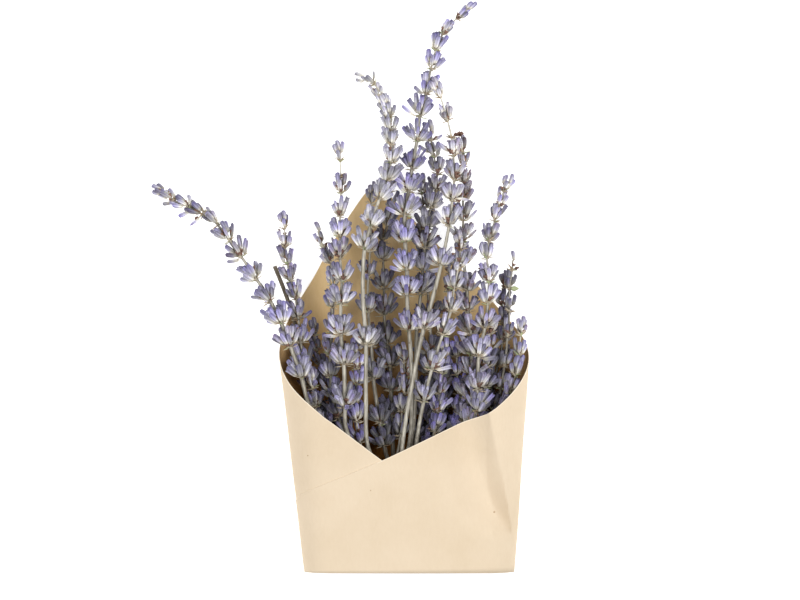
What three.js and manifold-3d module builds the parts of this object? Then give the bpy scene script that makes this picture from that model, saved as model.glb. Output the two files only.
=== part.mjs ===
// A bunch of dried lavender in a paper wrap, lying on its back, as a standalone three.js model.
// Millimetres, +Z up. +Y runs from the cut ends to the flower tips and +X to the right of the open front.
// The origin is on the surface that the bunch lies on, straight under the band that ties the stems.
import * as THREE from "three";
import Module from "manifold-3d";

const wasm = await Module();
wasm.setup();

// Driving dimensions
const GRID_STEP = 0.43; // size of one step of the layout grid on which the stems are drawn
const GRID_X = 400; // grid column over the origin
const GRID_Y = 526.5; // grid row over the origin, with rows counted down from the tips
const CLEAR = 0.3; // least gap between neighbours

const WRAP = {
  thickness: 0.8,
  bottom: -20, // the cut lower edge
  mouth: 73, // height at which the second value of each pair below holds
  centre: [4.1, 1.6], // middle of the section across X
  halfWidth: [45.6, 54.3],
  depth: [24, 38],
  crown: 1.6, // bulge of the front across its width
  lap: 1.1, // how far the tucked flap lies inside the outer one
  lapStart: 1.5, // turn up to which the tucked flap is fully inside
  lapEnd: 2,
  rows: 3, // rows of facets from the lower to the upper edge
  arcStep: 0.1, // turn between columns of facets on a rounded side
  flatStep: 0.2, // turn between columns on the front and back
  sliver: 0.03, // columns closer than this are one
};

// Upper edge of the paper sheet. turn counts round the wrap: 0 to 1 is the front from right to left,
// 1 to 2 the left side, 2 to 3 the back from left to right, 3 to 4 the right side, and from 4 the front
// again, where the sheet overlaps itself. height is that of the edge.
const EDGE = [
  { turn: 0.3, height: 11 },
  { turn: 0.652, height: 28.6 },
  { turn: 1, height: 47.4 },
  { turn: 1.2, height: 56.3 },
  { turn: 1.35, height: 63.5 },
  { turn: 1.5, height: 73 },
  { turn: 1.876, height: 101.7 },
  { turn: 2, height: 113.5 },
  { turn: 2.07, height: 124 },
  { turn: 2.17, height: 135 },
  { turn: 2.275, height: 145.2 },
  { turn: 2.35, height: 147.5 },
  { turn: 3, height: 100.5 },
  { turn: 3.19, height: 88.4 },
  { turn: 3.35, height: 81 },
  { turn: 3.5, height: 72.5 },
  { turn: 3.68, height: 63 },
  { turn: 3.85, height: 54.4 },
  { turn: 4, height: 48 },
  { turn: 4.1, height: 46.7 },
  { turn: 4.652, height: 28.6 },
  { turn: 5, height: 18.8 },
  { turn: 5.5, height: 10.5 },
];

const STEM = {
  pitch: 2.8, // spacing of the stems where they are tied
  outerPlace: 3.5, // the outermost place in the tied bundle
  outerLayer: 1.5, // layers from its middle to the outermost one
  tieMiddle: 7.9, // height of the middle of the tied bundle above the surface
  straight: 5, // half the length over which the tied stems run side by side
  fanHeight: 17, // height above the band at which the bundle has opened by fanSpread
  fanSpread: 1.4,
  cutEnd: -16, // mean height of the cut ends
  cutSpread: 2.5,
  splay: 1.15, // spread of the cut ends against the tied bundle
  thick: 0.9, // half the side of the square stem in its bare part
  thin: 0.45, // half the side at the tip
  taper: 110, // length over which it thins
  ringStep: 22, // length of the straight pieces in which it follows its path
};

const TIE = { wall: 1.2, width: 7, gap: 0.35, rounding: 3.4, segments: 3 };

const CALYX = {
  perWhorl: 4,
  length: 7.4,
  lengthen: 0.12, // added for each whorl further from the tip
  spread: [0.92, 1.08], // shortest and longest against the mean
  radius: 1.4,
  waist: 0.62, // share of the length at which it is widest
  // Lean away from the stem in degrees, at the tip and low down. The bunch is pressed flat, so
  // calyces lean less towards its front and back than to its sides.
  sideLean: [27, 50],
  frontLean: [17, 31],
  fullOrder: 8, // whorls from the tip over which the lean grows
  wander: 4, // degrees by which the lean strays
  jitter: 0.35, // share of its spacing by which a calyx strays round the stem
  stagger: 1.1, // how far neighbours in a ring are set apart along the stem
  body: [0.3, 0.85], // shares of the length between which it keeps its gap to neighbours
  terminal: 6, // length of the one at the very tip
  terminalRoot: 1.5, // how far below the tip that one is rooted
};
const TRIES = [[0, 0], [0.35, 0], [-0.35, 0], [0, -9], [0.35, -9], [-0.35, -9], [0, -16]]; // turn in radians, lean in degrees

const COLOUR = { paper: 0xefdbb9, tie: 0xb58a57, bare: 0x6e5f49, flower: 0x9a94bd };
const ROUGHNESS = { paper: 0.85, tie: 0.9, plant: 0.9 };
const SEED = 7;

// The stems. line lists [column, row, height above the surface in millimetres] from the tip down to
// where the stem is hidden by the wrap. whorls counts the points after the tip that carry a ring of
// flowers, and lone is the index of a point that carries one further down. slot is [place, layer] in
// the tied bundle, counted from its middle and from the back.
const STEMS = [
  { name: "stem_front_cross", slot: [0.5, 3], whorls: 8, lone: 10,
    line: [[436, 88, 36], [440, 98, 36], [447, 121, 36], [451, 138, 36], [453, 156, 35], [454, 179, 34.5], [452, 200, 34],
      [449, 225, 34], [441, 264, 33.5], [433, 296, 33], [424, 327, 32], [413, 378, 30], [402, 450, 27]] },
  { name: "stem_curled", slot: [-0.5, 3], whorls: 11, lone: 13,
    line: [[363, 79, 30], [374, 84, 30], [380, 98, 30], [386, 108, 30], [389, 117, 30], [391, 130, 30], [391, 145, 30],
      [391, 162, 30], [387, 180, 30], [380, 198, 30], [371, 225, 30], [365, 248, 30], [363, 290, 30], [366, 343, 29],
      [366, 400, 28], [369, 450, 25.5]] },
  { name: "stem_left_tall", slot: [-1.5, 3], whorls: 11,
    line: [[338, 150, 26], [340, 160, 26], [341, 176, 26], [341, 192, 26], [340, 215, 26], [340, 236, 26], [340, 257, 26],
      [342, 280, 25.5], [341, 302, 25], [341, 333, 24.5], [344, 363, 24], [345, 405, 23.5], [347, 432, 22]] },
  { name: "stem_far_left", slot: [-2.5, 3], whorls: 12,
    line: [[160, 191, 24], [166, 194, 24], [174, 200, 24], [189, 207, 25], [202, 214, 25], [217, 224, 25], [229, 239, 25],
      [241, 256, 25], [256, 278, 25], [270, 300, 24], [281, 322, 24], [290, 345, 23], [301, 376, 22], [308, 403, 21],
      [326, 445, 18]] },
  { name: "stem_front_right", slot: [1.5, 3], whorls: 7,
    line: [[459, 240, 28], [460, 250, 28], [458, 268, 28], [454, 288, 28], [451, 310, 28], [443, 333, 27.5],
      [432, 368, 27], [424, 400, 25.5], [417, 438, 23]] },
  { name: "stem_right_arch", slot: [2.5, 3], whorls: 10,
    line: [[508, 182, 22], [504, 190, 22], [499, 205, 22], [495, 220, 22], [489, 240, 22], [487, 257, 23],
      [489, 281, 23], [488, 302, 23], [485, 326, 23], [479, 355, 24], [477, 388, 24], [476, 415, 22]] },
  { name: "stem_tallest", slot: [0, 2], whorls: 14,
    line: [[469, 9, 30], [457, 19, 29], [443, 34, 28], [436, 50, 28], [431, 69, 27], [426, 93, 27], [420, 115, 26],
      [417, 140, 26], [412, 168, 25], [409, 190, 24], [405, 213, 24], [405, 240, 23], [407, 268, 22], [407, 294, 22],
      [409, 329, 21], [411, 360, 20], [412, 400, 18.5], [410, 440, 16.5]] },
  { name: "stem_right_column", slot: [2.5, 1], whorls: 10,
    line: [[459, 137, 25], [462, 152, 25], [464, 166, 25], [464, 184, 24], [463, 199, 24], [463, 219, 23], [463, 240, 22],
      [464, 262, 21], [467, 289, 20], [468, 310, 19], [471, 333, 18.5], [471, 370, 17], [464, 420, 14]] },
  { name: "stem_middle_lean", slot: [0.5, 1], whorls: 10,
    line: [[430, 129, 20], [431, 139, 20], [434, 156, 19], [437, 173, 19], [436, 190, 18], [431, 207, 18],
      [427, 227, 17], [425, 247, 17], [423, 269, 16], [421, 292, 15], [417, 328, 14], [416, 370, 13],
      [414, 420, 11]] },
  { name: "stem_left_upright", slot: [-3.5, 1], whorls: 7,
    line: [[283, 219, 15], [284, 228, 15], [285, 246, 15], [287, 263, 15], [290, 280, 14.5], [295, 298, 13.5],
      [298, 318, 13.5], [300, 341, 13.5], [305, 370, 13], [318, 412, 12.5]] },
  { name: "stem_left_side", slot: [-2.5, 1], whorls: 4,
    line: [[317, 228, 17], [319, 236, 17], [323, 247, 17], [330, 262, 17], [333, 284, 16], [331, 330, 15], [330, 370, 13.5],
      [336, 412, 12]] },
  { name: "stem_right_slim", slot: [3.5, 1], whorls: 6,
    line: [[511, 246, 15], [513, 254, 15], [513, 270, 15], [511, 290, 15], [510, 311, 15], [508, 336, 14.5],
      [505, 366, 13.5], [494, 412, 12]] },
  { name: "stem_right_rim", slot: [3, 2], whorls: 4,
    line: [[522, 325, 20], [521, 334, 20], [519, 355, 19.5], [516, 374, 19], [510, 393, 18], [494, 420, 16]] },
  { name: "stem_low_right", slot: [1, 2], whorls: 5,
    line: [[445, 347, 19.5], [444, 357, 19], [442, 373, 19], [440, 393, 18], [437, 411, 17], [435, 431, 15.5]] },
  { name: "stem_low_middle", slot: [-1, 2], whorls: 4,
    line: [[403, 352, 14.5], [404, 362, 14.5], [405, 376, 14.5], [405, 393, 14], [402, 412, 13.5], [400, 440, 13]] },
  { name: "stem_low_left", slot: [-2, 2], whorls: 3,
    line: [[311, 378, 16.5], [312, 388, 16], [315, 406, 15.5], [320, 425, 14]] },
  { name: "stem_low_right_side", slot: [2, 2], whorls: 4,
    line: [[491, 325, 15.5], [491, 334, 15.5], [490, 349, 15.5], [488, 367, 15.5], [485, 387, 15.5], [478, 410, 16], [450, 455, 15]] },
  { name: "stem_low_left_middle", slot: [-1.5, 1], whorls: 5,
    line: [[356, 344, 14], [356, 354, 14], [357, 368, 14], [357, 385, 13.5], [354, 403, 13], [356, 421, 12.5],
      [361, 448, 11.5]] },
  { name: "stem_back_left", slot: [-0.5, 1], whorls: 7,
    line: [[372, 190, 13], [371, 203, 13], [371, 225, 13], [370, 250, 13], [368, 277, 13], [368, 311, 12.5],
      [371, 345, 12], [373, 378, 11.5], [378, 412, 11], [386, 455, 10]] },
  { name: "stem_low_right_middle", slot: [1.5, 1], whorls: 4,
    line: [[456, 346, 13], [457, 356, 13], [457, 374, 13], [460, 394, 12], [458, 412, 11], [453, 432, 9.5]] },
  { name: "stem_cut_stub", slot: [-3, 0], whorls: 0,
    line: [[274, 266, 12], [285, 294, 10.5], [294, 322, 9.5], [304, 362, 9], [314, 400, 8], [329, 442, 6.5]] },
  { name: "stem_back_middle", slot: [-1, 0], whorls: 11,
    line: [[391, 180, 9.5], [391, 190, 9.5], [390, 207, 9.5], [387, 224, 9], [383, 240, 8.5], [383, 258, 8.5],
      [384, 287, 8], [384, 313, 8], [387, 343, 8], [390, 366, 8], [391, 390, 7.5], [391, 415, 7], [393, 460, 6]] },
  { name: "stem_back_tall", slot: [0, 0], whorls: 7,
    line: [[422, 182, 12], [422, 192, 12], [423, 210, 11], [424, 236, 10], [426, 262, 9.5], [428, 290, 9], [430, 320, 8.5],
      [431, 352, 8], [428, 400, 7]] },
  { name: "stem_back_right", slot: [1, 0], whorls: 6,
    line: [[450, 264, 10.5], [450, 273, 10.5], [449, 291, 10], [447, 313, 9], [446, 336, 8.5], [445, 360, 8.3],
      [443, 385, 8], [440, 412, 7]] },
  { name: "stem_low_back_left", slot: [-2, 0], whorls: 5,
    line: [[313, 326, 8.5], [314, 335, 8.5], [316, 350, 8.5], [322, 367, 8], [327, 388, 7.5], [331, 416, 7],
      [341, 446, 6]] },
  { name: "stem_right_back", slot: [3, 0], whorls: 5,
    line: [[505, 279, 9], [505, 288, 9], [503, 305, 8.5], [504, 323, 8.5], [503, 342, 8.5], [499, 364, 8], [487, 402, 7]] },
  { name: "stem_low_back_right", slot: [2, 0], whorls: 4,
    line: [[478, 330, 8], [477, 340, 8], [476, 358, 7.5], [473, 379, 7], [469, 399, 6.5], [463, 422, 6]] },
];

// Evenly spread numbers from 0 to 1 that are the same on every run.
function randomFrom(seed) {
  let state = seed >>> 0;
  return () => {
    state = (state + 0x6d2b79f5) >>> 0;
    let t = Math.imul(state ^ (state >>> 15), 1 | state);
    t = (t + Math.imul(t ^ (t >>> 7), 61 | t)) ^ t;
    return ((t ^ (t >>> 14)) >>> 0) / 4294967296;
  };
}

const UP = new THREE.Vector3(0, 0, 1);

// The paper wrap

function sectionAt(y) {
  const share = THREE.MathUtils.clamp((y - WRAP.bottom) / (WRAP.mouth - WRAP.bottom), 0, 1);
  const depth = THREE.MathUtils.lerp(...WRAP.depth, share);
  return {
    centre: THREE.MathUtils.lerp(...WRAP.centre, share),
    radius: depth / 2,
    flat: THREE.MathUtils.lerp(...WRAP.halfWidth, share) - depth / 2,
  };
}

// Point of the section at height y, inset from the outer surface.
function wrapPoint(turn, y, inset) {
  const { centre, radius, flat } = sectionAt(y);
  const quarter = Math.floor(turn) % 4;
  const along = turn - Math.floor(turn);
  if (quarter === 2) return new THREE.Vector3(centre - flat + 2 * flat * along, y, inset);
  if (quarter === 0) {
    const across = 1 - 2 * along;
    const bulge = WRAP.crown * (1 - across * across);
    return new THREE.Vector3(centre + flat * across, y, 2 * radius + bulge - inset);
  }
  const angle = Math.PI * (quarter === 1 ? 0.5 + along : 1.5 + along);
  const reach = radius - inset;
  const side = quarter === 1 ? -1 : 1;
  return new THREE.Vector3(centre + side * flat + reach * Math.cos(angle), y, radius + reach * Math.sin(angle));
}

function edgeHeight(turn) {
  const next = EDGE.findIndex((point) => point.turn >= turn);
  if (next <= 0) return EDGE[0].height;
  const a = EDGE[next - 1];
  const b = EDGE[next];
  return THREE.MathUtils.mapLinear(turn, a.turn, b.turn, a.height, b.height);
}

function wrapColumns() {
  const turns = EDGE.map((point) => point.turn);
  for (let turn = 0; turn < EDGE.at(-1).turn; ) {
    const onSide = Math.floor(turn + WRAP.sliver) % 2 === 1;
    if (turn > EDGE[0].turn && turns.every((other) => Math.abs(other - turn) > WRAP.sliver)) turns.push(turn);
    turn += onSide ? WRAP.arcStep : WRAP.flatStep;
  }
  return turns.sort((a, b) => a - b);
}

function lapInset(turn) {
  return WRAP.lap * (1 - THREE.MathUtils.smoothstep(turn, WRAP.lapStart, WRAP.lapEnd));
}

function wrapGeometry() {
  const turns = wrapColumns();
  const rows = WRAP.rows + 1;
  const count = turns.length * rows;
  const positions = [];
  for (const inset of [0, WRAP.thickness]) {
    for (const turn of turns) {
      for (let row = 0; row < rows; row++) {
        const y = THREE.MathUtils.lerp(WRAP.bottom, edgeHeight(turn), row / WRAP.rows);
        positions.push(...wrapPoint(turn, y, lapInset(turn) + inset));
      }
    }
  }
  const faces = [];
  const outer = (column, row) => column * rows + row;
  const inner = (column, row) => count + outer(column, row);
  const quad = (a, b, c, d) => faces.push(a, b, c, a, c, d);
  for (let column = 0; column + 1 < turns.length; column++) {
    for (let row = 0; row < WRAP.rows; row++) {
      quad(outer(column, row), outer(column, row + 1), outer(column + 1, row + 1), outer(column + 1, row));
      quad(inner(column, row + 1), inner(column, row), inner(column + 1, row), inner(column + 1, row + 1));
    }
    quad(outer(column, 0), outer(column + 1, 0), inner(column + 1, 0), inner(column, 0));
    quad(outer(column + 1, WRAP.rows), outer(column, WRAP.rows), inner(column, WRAP.rows), inner(column + 1, WRAP.rows));
  }
  const last = turns.length - 1;
  for (let row = 0; row < WRAP.rows; row++) {
    quad(outer(0, row + 1), outer(0, row), inner(0, row), inner(0, row + 1));
    quad(outer(last, row), outer(last, row + 1), inner(last, row + 1), inner(last, row));
  }
  return indexed(positions, faces);
}

function indexed(positions, faces) {
  const geometry = new THREE.BufferGeometry();
  geometry.setAttribute("position", new THREE.Float32BufferAttribute(positions, 3));
  geometry.setIndex(faces);
  return geometry;
}

// The stems

function slotPoint([place, layer], y, spread = 1) {
  const layerStep = (STEM.pitch * Math.sqrt(3)) / 2;
  const x = place * STEM.pitch * spread;
  return new THREE.Vector3(x, y, STEM.tieMiddle + (layer - STEM.outerLayer) * layerStep * spread);
}

// Straight pieces from the tip to the cut end, with each listed point on one of them.
function stemPath(stem, random) {
  const listed = stem.line.map(([column, row, height]) =>
    new THREE.Vector3((column - GRID_X) * GRID_STEP, (GRID_Y - row) * GRID_STEP, height));
  const cut = STEM.cutEnd + (random() * 2 - 1) * STEM.cutSpread;
  const fan = slotPoint(stem.slot, STEM.fanHeight, STEM.fanSpread);
  const curve = new THREE.CatmullRomCurve3([...listed, fan, slotPoint(stem.slot, STEM.straight)], false, "centripetal");
  const pieces = Math.ceil(curve.getLength() / STEM.ringStep);
  const tied = [slotPoint(stem.slot, -STEM.straight), slotPoint(stem.slot, cut, STEM.splay)];
  return { points: [...curve.getSpacedPoints(pieces), ...tied], listed };
}

function stemHalfSide(distance) {
  return THREE.MathUtils.lerp(STEM.thin, STEM.thick, Math.min(1, distance / STEM.taper));
}

// A square rod along the path.
function rodGeometry(points) {
  const positions = [];
  const faces = [];
  let distance = 0;
  points.forEach((point, index) => {
    const before = points[Math.max(0, index - 1)];
    const after = points[Math.min(points.length - 1, index + 1)];
    if (index > 0) distance += point.distanceTo(before);
    const tangent = after.clone().sub(before).normalize();
    const across = tangent.clone().cross(UP).normalize();
    const normal = across.clone().cross(tangent);
    const half = stemHalfSide(distance);
    for (const [a, b] of [[1, 1], [-1, 1], [-1, -1], [1, -1]]) {
      positions.push(...point.clone().addScaledVector(across, a * half).addScaledVector(normal, b * half));
    }
  });
  const corner = (ring, k) => ring * 4 + (k % 4);
  for (let ring = 0; ring + 1 < points.length; ring++) {
    for (let k = 0; k < 4; k++) {
      faces.push(corner(ring, k), corner(ring + 1, k + 1), corner(ring, k + 1));
      faces.push(corner(ring, k), corner(ring + 1, k), corner(ring + 1, k + 1));
    }
  }
  const end = points.length - 1;
  faces.push(corner(0, 0), corner(0, 1), corner(0, 2), corner(0, 0), corner(0, 2), corner(0, 3));
  faces.push(corner(end, 0), corner(end, 2), corner(end, 1), corner(end, 0), corner(end, 3), corner(end, 2));
  return indexed(positions, faces);
}

// A calyx: a spindle of three sides from its root inside the stem to its tip.
function calyxGeometry({ root, tip, radius, turn }) {
  const direction = tip.clone().sub(root).normalize();
  const across = new THREE.Vector3().crossVectors(direction, Math.abs(direction.z) < 0.9 ? UP : new THREE.Vector3(1, 0, 0)).normalize();
  const normal = direction.clone().cross(across);
  const waist = root.clone().lerp(tip, CALYX.waist);
  const positions = [...root];
  for (let k = 0; k < 3; k++) {
    const angle = turn + (k * 2 * Math.PI) / 3;
    positions.push(...waist.clone().addScaledVector(across, radius * Math.cos(angle)).addScaledVector(normal, radius * Math.sin(angle)));
  }
  positions.push(...tip);
  return indexed(positions, [0, 2, 1, 0, 3, 2, 0, 1, 3, 4, 1, 2, 4, 2, 3, 4, 3, 1]);
}

function solidFrom(geometry) {
  return new wasm.Manifold(new wasm.Mesh({
    numProp: 3,
    vertProperties: geometry.attributes.position.array,
    triVerts: Uint32Array.from(geometry.index.array),
  }));
}

function geometryFrom(solid) {
  const mesh = solid.getMesh();
  return indexed(Array.from(mesh.vertProperties), Array.from(mesh.triVerts));
}

// Point of the path nearest to the given one, with the direction towards the tip there.
function seatOn(points, target) {
  let best = null;
  for (let k = 0; k + 1 < points.length; k++) {
    const seat = new THREE.Line3(points[k], points[k + 1]).closestPointToPoint(target, true, new THREE.Vector3());
    const gap = seat.distanceTo(target);
    if (!best || gap < best.gap) best = { seat, gap, direction: points[k].clone().sub(points[k + 1]).normalize() };
  }
  return best;
}

// Least distance between the straight lines a-b and c-d.
function segmentDistance(a, b, c, d) {
  const u = b.clone().sub(a);
  const v = d.clone().sub(c);
  const w = a.clone().sub(c);
  const uu = u.dot(u);
  const uv = u.dot(v);
  const vv = v.dot(v);
  const uw = u.dot(w);
  const vw = v.dot(w);
  const denominator = uu * vv - uv * uv;
  let s = denominator > 1e-9 ? THREE.MathUtils.clamp((uv * vw - vv * uw) / denominator, 0, 1) : 0;
  const t = THREE.MathUtils.clamp((uv * s + vw) / vv, 0, 1);
  s = THREE.MathUtils.clamp((uv * t - uw) / uu, 0, 1);
  return w.addScaledVector(u, s).addScaledVector(v, -t).length();
}

class Surroundings {
  constructor(wrap) {
    this.rods = [];
    const position = wrap.attributes.position;
    const corner = (k) => new THREE.Vector3().fromBufferAttribute(position, wrap.index.getX(k));
    this.facets = [];
    for (let k = 0; k < wrap.index.count; k += 3) {
      this.facets.push(new THREE.Triangle(corner(k), corner(k + 1), corner(k + 2)));
    }
  }

  add(owner, a, b, radius) {
    this.rods.push({ owner, a, b, radius, middle: a.clone().lerp(b, 0.5), half: a.distanceTo(b) / 2 });
  }

  // True if a rod of the given owner from a to b keeps its gap to every other owner's and to the wrap.
  clears(owner, a, b, radius) {
    const middle = a.clone().lerp(b, 0.5);
    const half = a.distanceTo(b) / 2;
    for (const rod of this.rods) {
      if (rod.owner === owner) continue;
      const need = radius + rod.radius + CLEAR;
      if (middle.distanceTo(rod.middle) > half + rod.half + need) continue;
      if (segmentDistance(a, b, rod.a, rod.b) < need) return false;
    }
    if (Math.min(a.z, b.z) < WRAP.thickness + radius + CLEAR) return false;
    const nearest = new THREE.Vector3();
    for (const facet of this.facets) {
      for (const share of [0, 0.5, 1]) {
        const point = a.clone().lerp(b, share);
        if (facet.closestPointToPoint(point, nearest).distanceTo(point) < radius + CLEAR) return false;
      }
    }
    return true;
  }
}

function calyxAt(seat, direction, { along, azimuth, lean, length, turn }) {
  const side = direction.clone().cross(UP).normalize();
  const over = side.clone().cross(direction);
  const outward = side.multiplyScalar(Math.cos(azimuth)).addScaledVector(over, Math.sin(azimuth));
  const axis = direction.clone().multiplyScalar(Math.cos(lean)).addScaledVector(outward, Math.sin(lean));
  const root = seat.clone().addScaledVector(direction, along);
  return { root, tip: root.clone().addScaledVector(axis, length), radius: CALYX.radius, turn };
}

// The two ends of the stretch over which a calyx keeps its gap.
function bodyOf({ root, tip }) {
  return CALYX.body.map((share) => root.clone().lerp(tip, share));
}

// The calyces of a stem, each turned, leaned in or left out until it clears its neighbours.
function flowersOf(stem, path, surroundings, random) {
  const flowers = [];
  const top = path.points[0].clone().sub(path.points[1]).normalize();
  const rings = [];
  for (let k = 1; k <= stem.whorls; k++) rings.push({ point: path.listed[k], order: k - 1 });
  if (stem.lone) rings.push({ point: path.listed[stem.lone], order: stem.whorls });
  if (stem.whorls) {
    const root = path.points[0].clone().addScaledVector(top, -CALYX.terminalRoot);
    flowers.push({ root, tip: root.clone().addScaledVector(top, CALYX.terminal), radius: CALYX.radius, turn: 0 });
  }
  for (const ring of rings) {
    const { seat, direction } = seatOn(path.points, ring.point);
    const length = CALYX.length + CALYX.lengthen * ring.order;
    const grown = Math.min(1, ring.order / CALYX.fullOrder);
    const sideLean = THREE.MathUtils.lerp(...CALYX.sideLean, grown);
    const frontLean = THREE.MathUtils.lerp(...CALYX.frontLean, grown);
    const spacing = (2 * Math.PI) / CALYX.perWhorl;
    for (let k = 0; k < CALYX.perWhorl; k++) {
      const azimuth = spacing * (k + (ring.order % 2) / 2 + (random() - 0.5) * CALYX.jitter);
      const reach = length * THREE.MathUtils.lerp(...CALYX.spread, random());
      const lean = THREE.MathUtils.lerp(frontLean, sideLean, Math.abs(Math.cos(azimuth))) + (random() * 2 - 1) * CALYX.wander;
      const turn = random() * Math.PI;
      const along = ((k % 2) - 0.5) * CALYX.stagger;
      const fitting = TRIES.map(([round, less]) =>
        calyxAt(seat, direction, { along, azimuth: azimuth + round, lean: THREE.MathUtils.degToRad(lean + less), length: reach, turn }),
      ).find((calyx) => surroundings.clears(stem.name, ...bodyOf(calyx), CALYX.radius));
      if (fitting) {
        surroundings.add(stem.name, ...bodyOf(fitting), CALYX.radius);
        flowers.push(fitting);
      }
    }
  }
  return flowers;
}

// The band round the tied stems: a ring with a rounded oblong section.
function tieGeometry() {
  const layerStep = (STEM.pitch * Math.sqrt(3)) / 2;
  const corner = STEM.thick * Math.SQRT2;
  const across = STEM.outerPlace * STEM.pitch + corner + TIE.gap;
  const deep = STEM.outerLayer * layerStep + corner + TIE.gap;
  const outline = (grow) => {
    const shape = new THREE.Shape();
    const w = across + grow;
    const h = deep + grow;
    const r = TIE.rounding + grow;
    shape.moveTo(w, h - r);
    shape.absarc(w - r, h - r, r, 0, Math.PI / 2);
    shape.absarc(-w + r, h - r, r, Math.PI / 2, Math.PI);
    shape.absarc(-w + r, -h + r, r, Math.PI, 1.5 * Math.PI);
    shape.absarc(w - r, -h + r, r, 1.5 * Math.PI, 2 * Math.PI);
    return shape;
  };
  const ring = outline(TIE.wall);
  ring.holes.push(outline(0));
  const geometry = new THREE.ExtrudeGeometry(ring, { depth: TIE.width, bevelEnabled: false, curveSegments: TIE.segments });
  geometry.rotateX(Math.PI / 2);
  geometry.translate(0, TIE.width / 2, STEM.tieMiddle);
  return geometry;
}

// The assembled bunch
const bunch = new THREE.Group();
function place(name, geometry, color, roughness) {
  geometry.computeVertexNormals();
  const mesh = new THREE.Mesh(geometry, new THREE.MeshStandardMaterial({ color, roughness, metalness: 0 }));
  mesh.name = name;
  bunch.add(mesh);
}

const wrap = wrapGeometry();
place("paper_wrap", wrap, COLOUR.paper, ROUGHNESS.paper);
place("tie_band", tieGeometry(), COLOUR.tie, ROUGHNESS.tie);

const random = randomFrom(SEED);
const paths = STEMS.map((stem) => stemPath(stem, random));
const surroundings = new Surroundings(wrap);
STEMS.forEach((stem, index) => {
  const { points } = paths[index];
  let distance = 0;
  for (let k = 0; k + 1 < points.length; k++) {
    distance += points[k].distanceTo(points[k + 1]);
    surroundings.add(stem.name, points[k], points[k + 1], stemHalfSide(distance) * Math.SQRT2);
  }
});
STEMS.forEach((stem, index) => {
  const solids = [rodGeometry(paths[index].points), ...flowersOf(stem, paths[index], surroundings, random).map(calyxGeometry)].map(solidFrom);
  place(stem.name, geometryFrom(wasm.Manifold.union(solids)), stem.whorls ? COLOUR.flower : COLOUR.bare, ROUGHNESS.plant);
});

export default bunch;
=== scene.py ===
"""Dried lavender in a kraft paper wrap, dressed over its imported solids.

The bunch lies on its back: +Y runs from the cut ends to the flower tips, +X to the right of the
open front and +Z up. Lengths are in millimetres until a mesh is written, which is in metres.
"""

from __future__ import annotations

import logging
import math
import random
from dataclasses import dataclass, field
from enum import Enum
from typing import Iterable, Optional, Sequence, Union

import bpy
import numpy as np
from bpy.types import Material, Mesh, Node, NodeSocket, NodeTree, Object
from mathutils import Matrix, Vector

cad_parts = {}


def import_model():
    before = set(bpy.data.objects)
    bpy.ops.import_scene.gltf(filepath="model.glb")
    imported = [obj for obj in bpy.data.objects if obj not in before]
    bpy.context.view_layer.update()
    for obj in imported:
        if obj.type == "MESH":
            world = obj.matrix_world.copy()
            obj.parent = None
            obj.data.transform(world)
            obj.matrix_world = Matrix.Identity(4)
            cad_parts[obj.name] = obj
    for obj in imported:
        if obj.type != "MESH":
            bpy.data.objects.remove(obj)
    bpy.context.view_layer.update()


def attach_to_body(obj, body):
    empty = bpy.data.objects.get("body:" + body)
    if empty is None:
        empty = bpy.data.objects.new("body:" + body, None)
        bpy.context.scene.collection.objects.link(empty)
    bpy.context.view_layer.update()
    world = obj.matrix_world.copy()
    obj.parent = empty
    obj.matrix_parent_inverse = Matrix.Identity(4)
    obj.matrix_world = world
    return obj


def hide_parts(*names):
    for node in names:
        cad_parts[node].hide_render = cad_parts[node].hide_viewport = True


LOG = logging.getLogger("lavender")
MM = 0.001
FIRST_SEED = 100

# The layout grid of the stems: its step in millimetres, and the column and row of the part's origin.
GRID_STEP = 0.43
GRID_X = 400.0
GRID_Y = 526.5

# The detail, roughness and contrast of the two noises that mottle every surface, and their weights
# in its relief.
BLOTCH_NOISE = (3.0, 0.55)
GRAIN_NOISE = (4.0, 0.6)
BLOTCH_SPAN = (0.34, 0.66)
GRAIN_SPAN = (0.3, 0.7)
RELIEF_WEIGHTS = (0.35, 0.65)

Colour = tuple[float, float, float, float]
Point = tuple[float, float, float]
Span = tuple[float, float]
Socketed = Union[NodeSocket, float, int, bool, str, tuple]


class Bloom(Enum):
    """What grows at a point of a flower spike."""

    CLOSED = 1
    OPEN = 2
    WITHERED = 3
    BRACT = 4
    PETAL = 5


class Side(Enum):
    """Which part of the wrap a turn lies on."""

    FRONT = 0
    LEFT = 1
    BACK = 2
    RIGHT = 3


def lerp(a: float, b: float, share: float) -> float:
    """Returns the value a share of the way from a to b."""
    return a + (b - a) * share


def clamp(value: float, low: float = 0.0, high: float = 1.0) -> float:
    """Returns value kept between low and high."""
    return max(low, min(high, value))


def smooth(low: float, high: float, value: float) -> float:
    """Returns 0 below low and 1 above high, easing between."""
    share = clamp((value - low) / (high - low))
    return share * share * (3.0 - 2.0 * share)


def srgb(*channels: int) -> Colour:
    """Returns a display colour of 0 to 255 as a linear colour."""
    shares = [channel / 255.0 for channel in channels]
    return (*(s / 12.92 if s <= 0.04045 else ((s + 0.055) / 1.055) ** 2.4 for s in shares), 1.0)


# Meshes and objects


def write(mesh: Mesh, name: str, kind: str, values: Sequence) -> None:
    """Writes one value for each point of a mesh."""
    layer = mesh.attributes.new(name, kind, "POINT")
    layer.data.foreach_set("vector" if kind == "FLOAT_VECTOR" else "value", values)


def smooth_mesh(name: str, vertices: Sequence, faces: Sequence) -> Mesh:
    """Makes a mesh with smooth faces.

    Args:
        name: the mesh's name.
        vertices: its points, in the unit that it is meant to have.
        faces: the points of each face.

    Returns:
        The mesh.
    """
    mesh = bpy.data.meshes.new(name)
    mesh.from_pydata(vertices, [], faces)
    mesh.polygons.foreach_set("use_smooth", [True] * len(faces))
    return mesh


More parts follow.
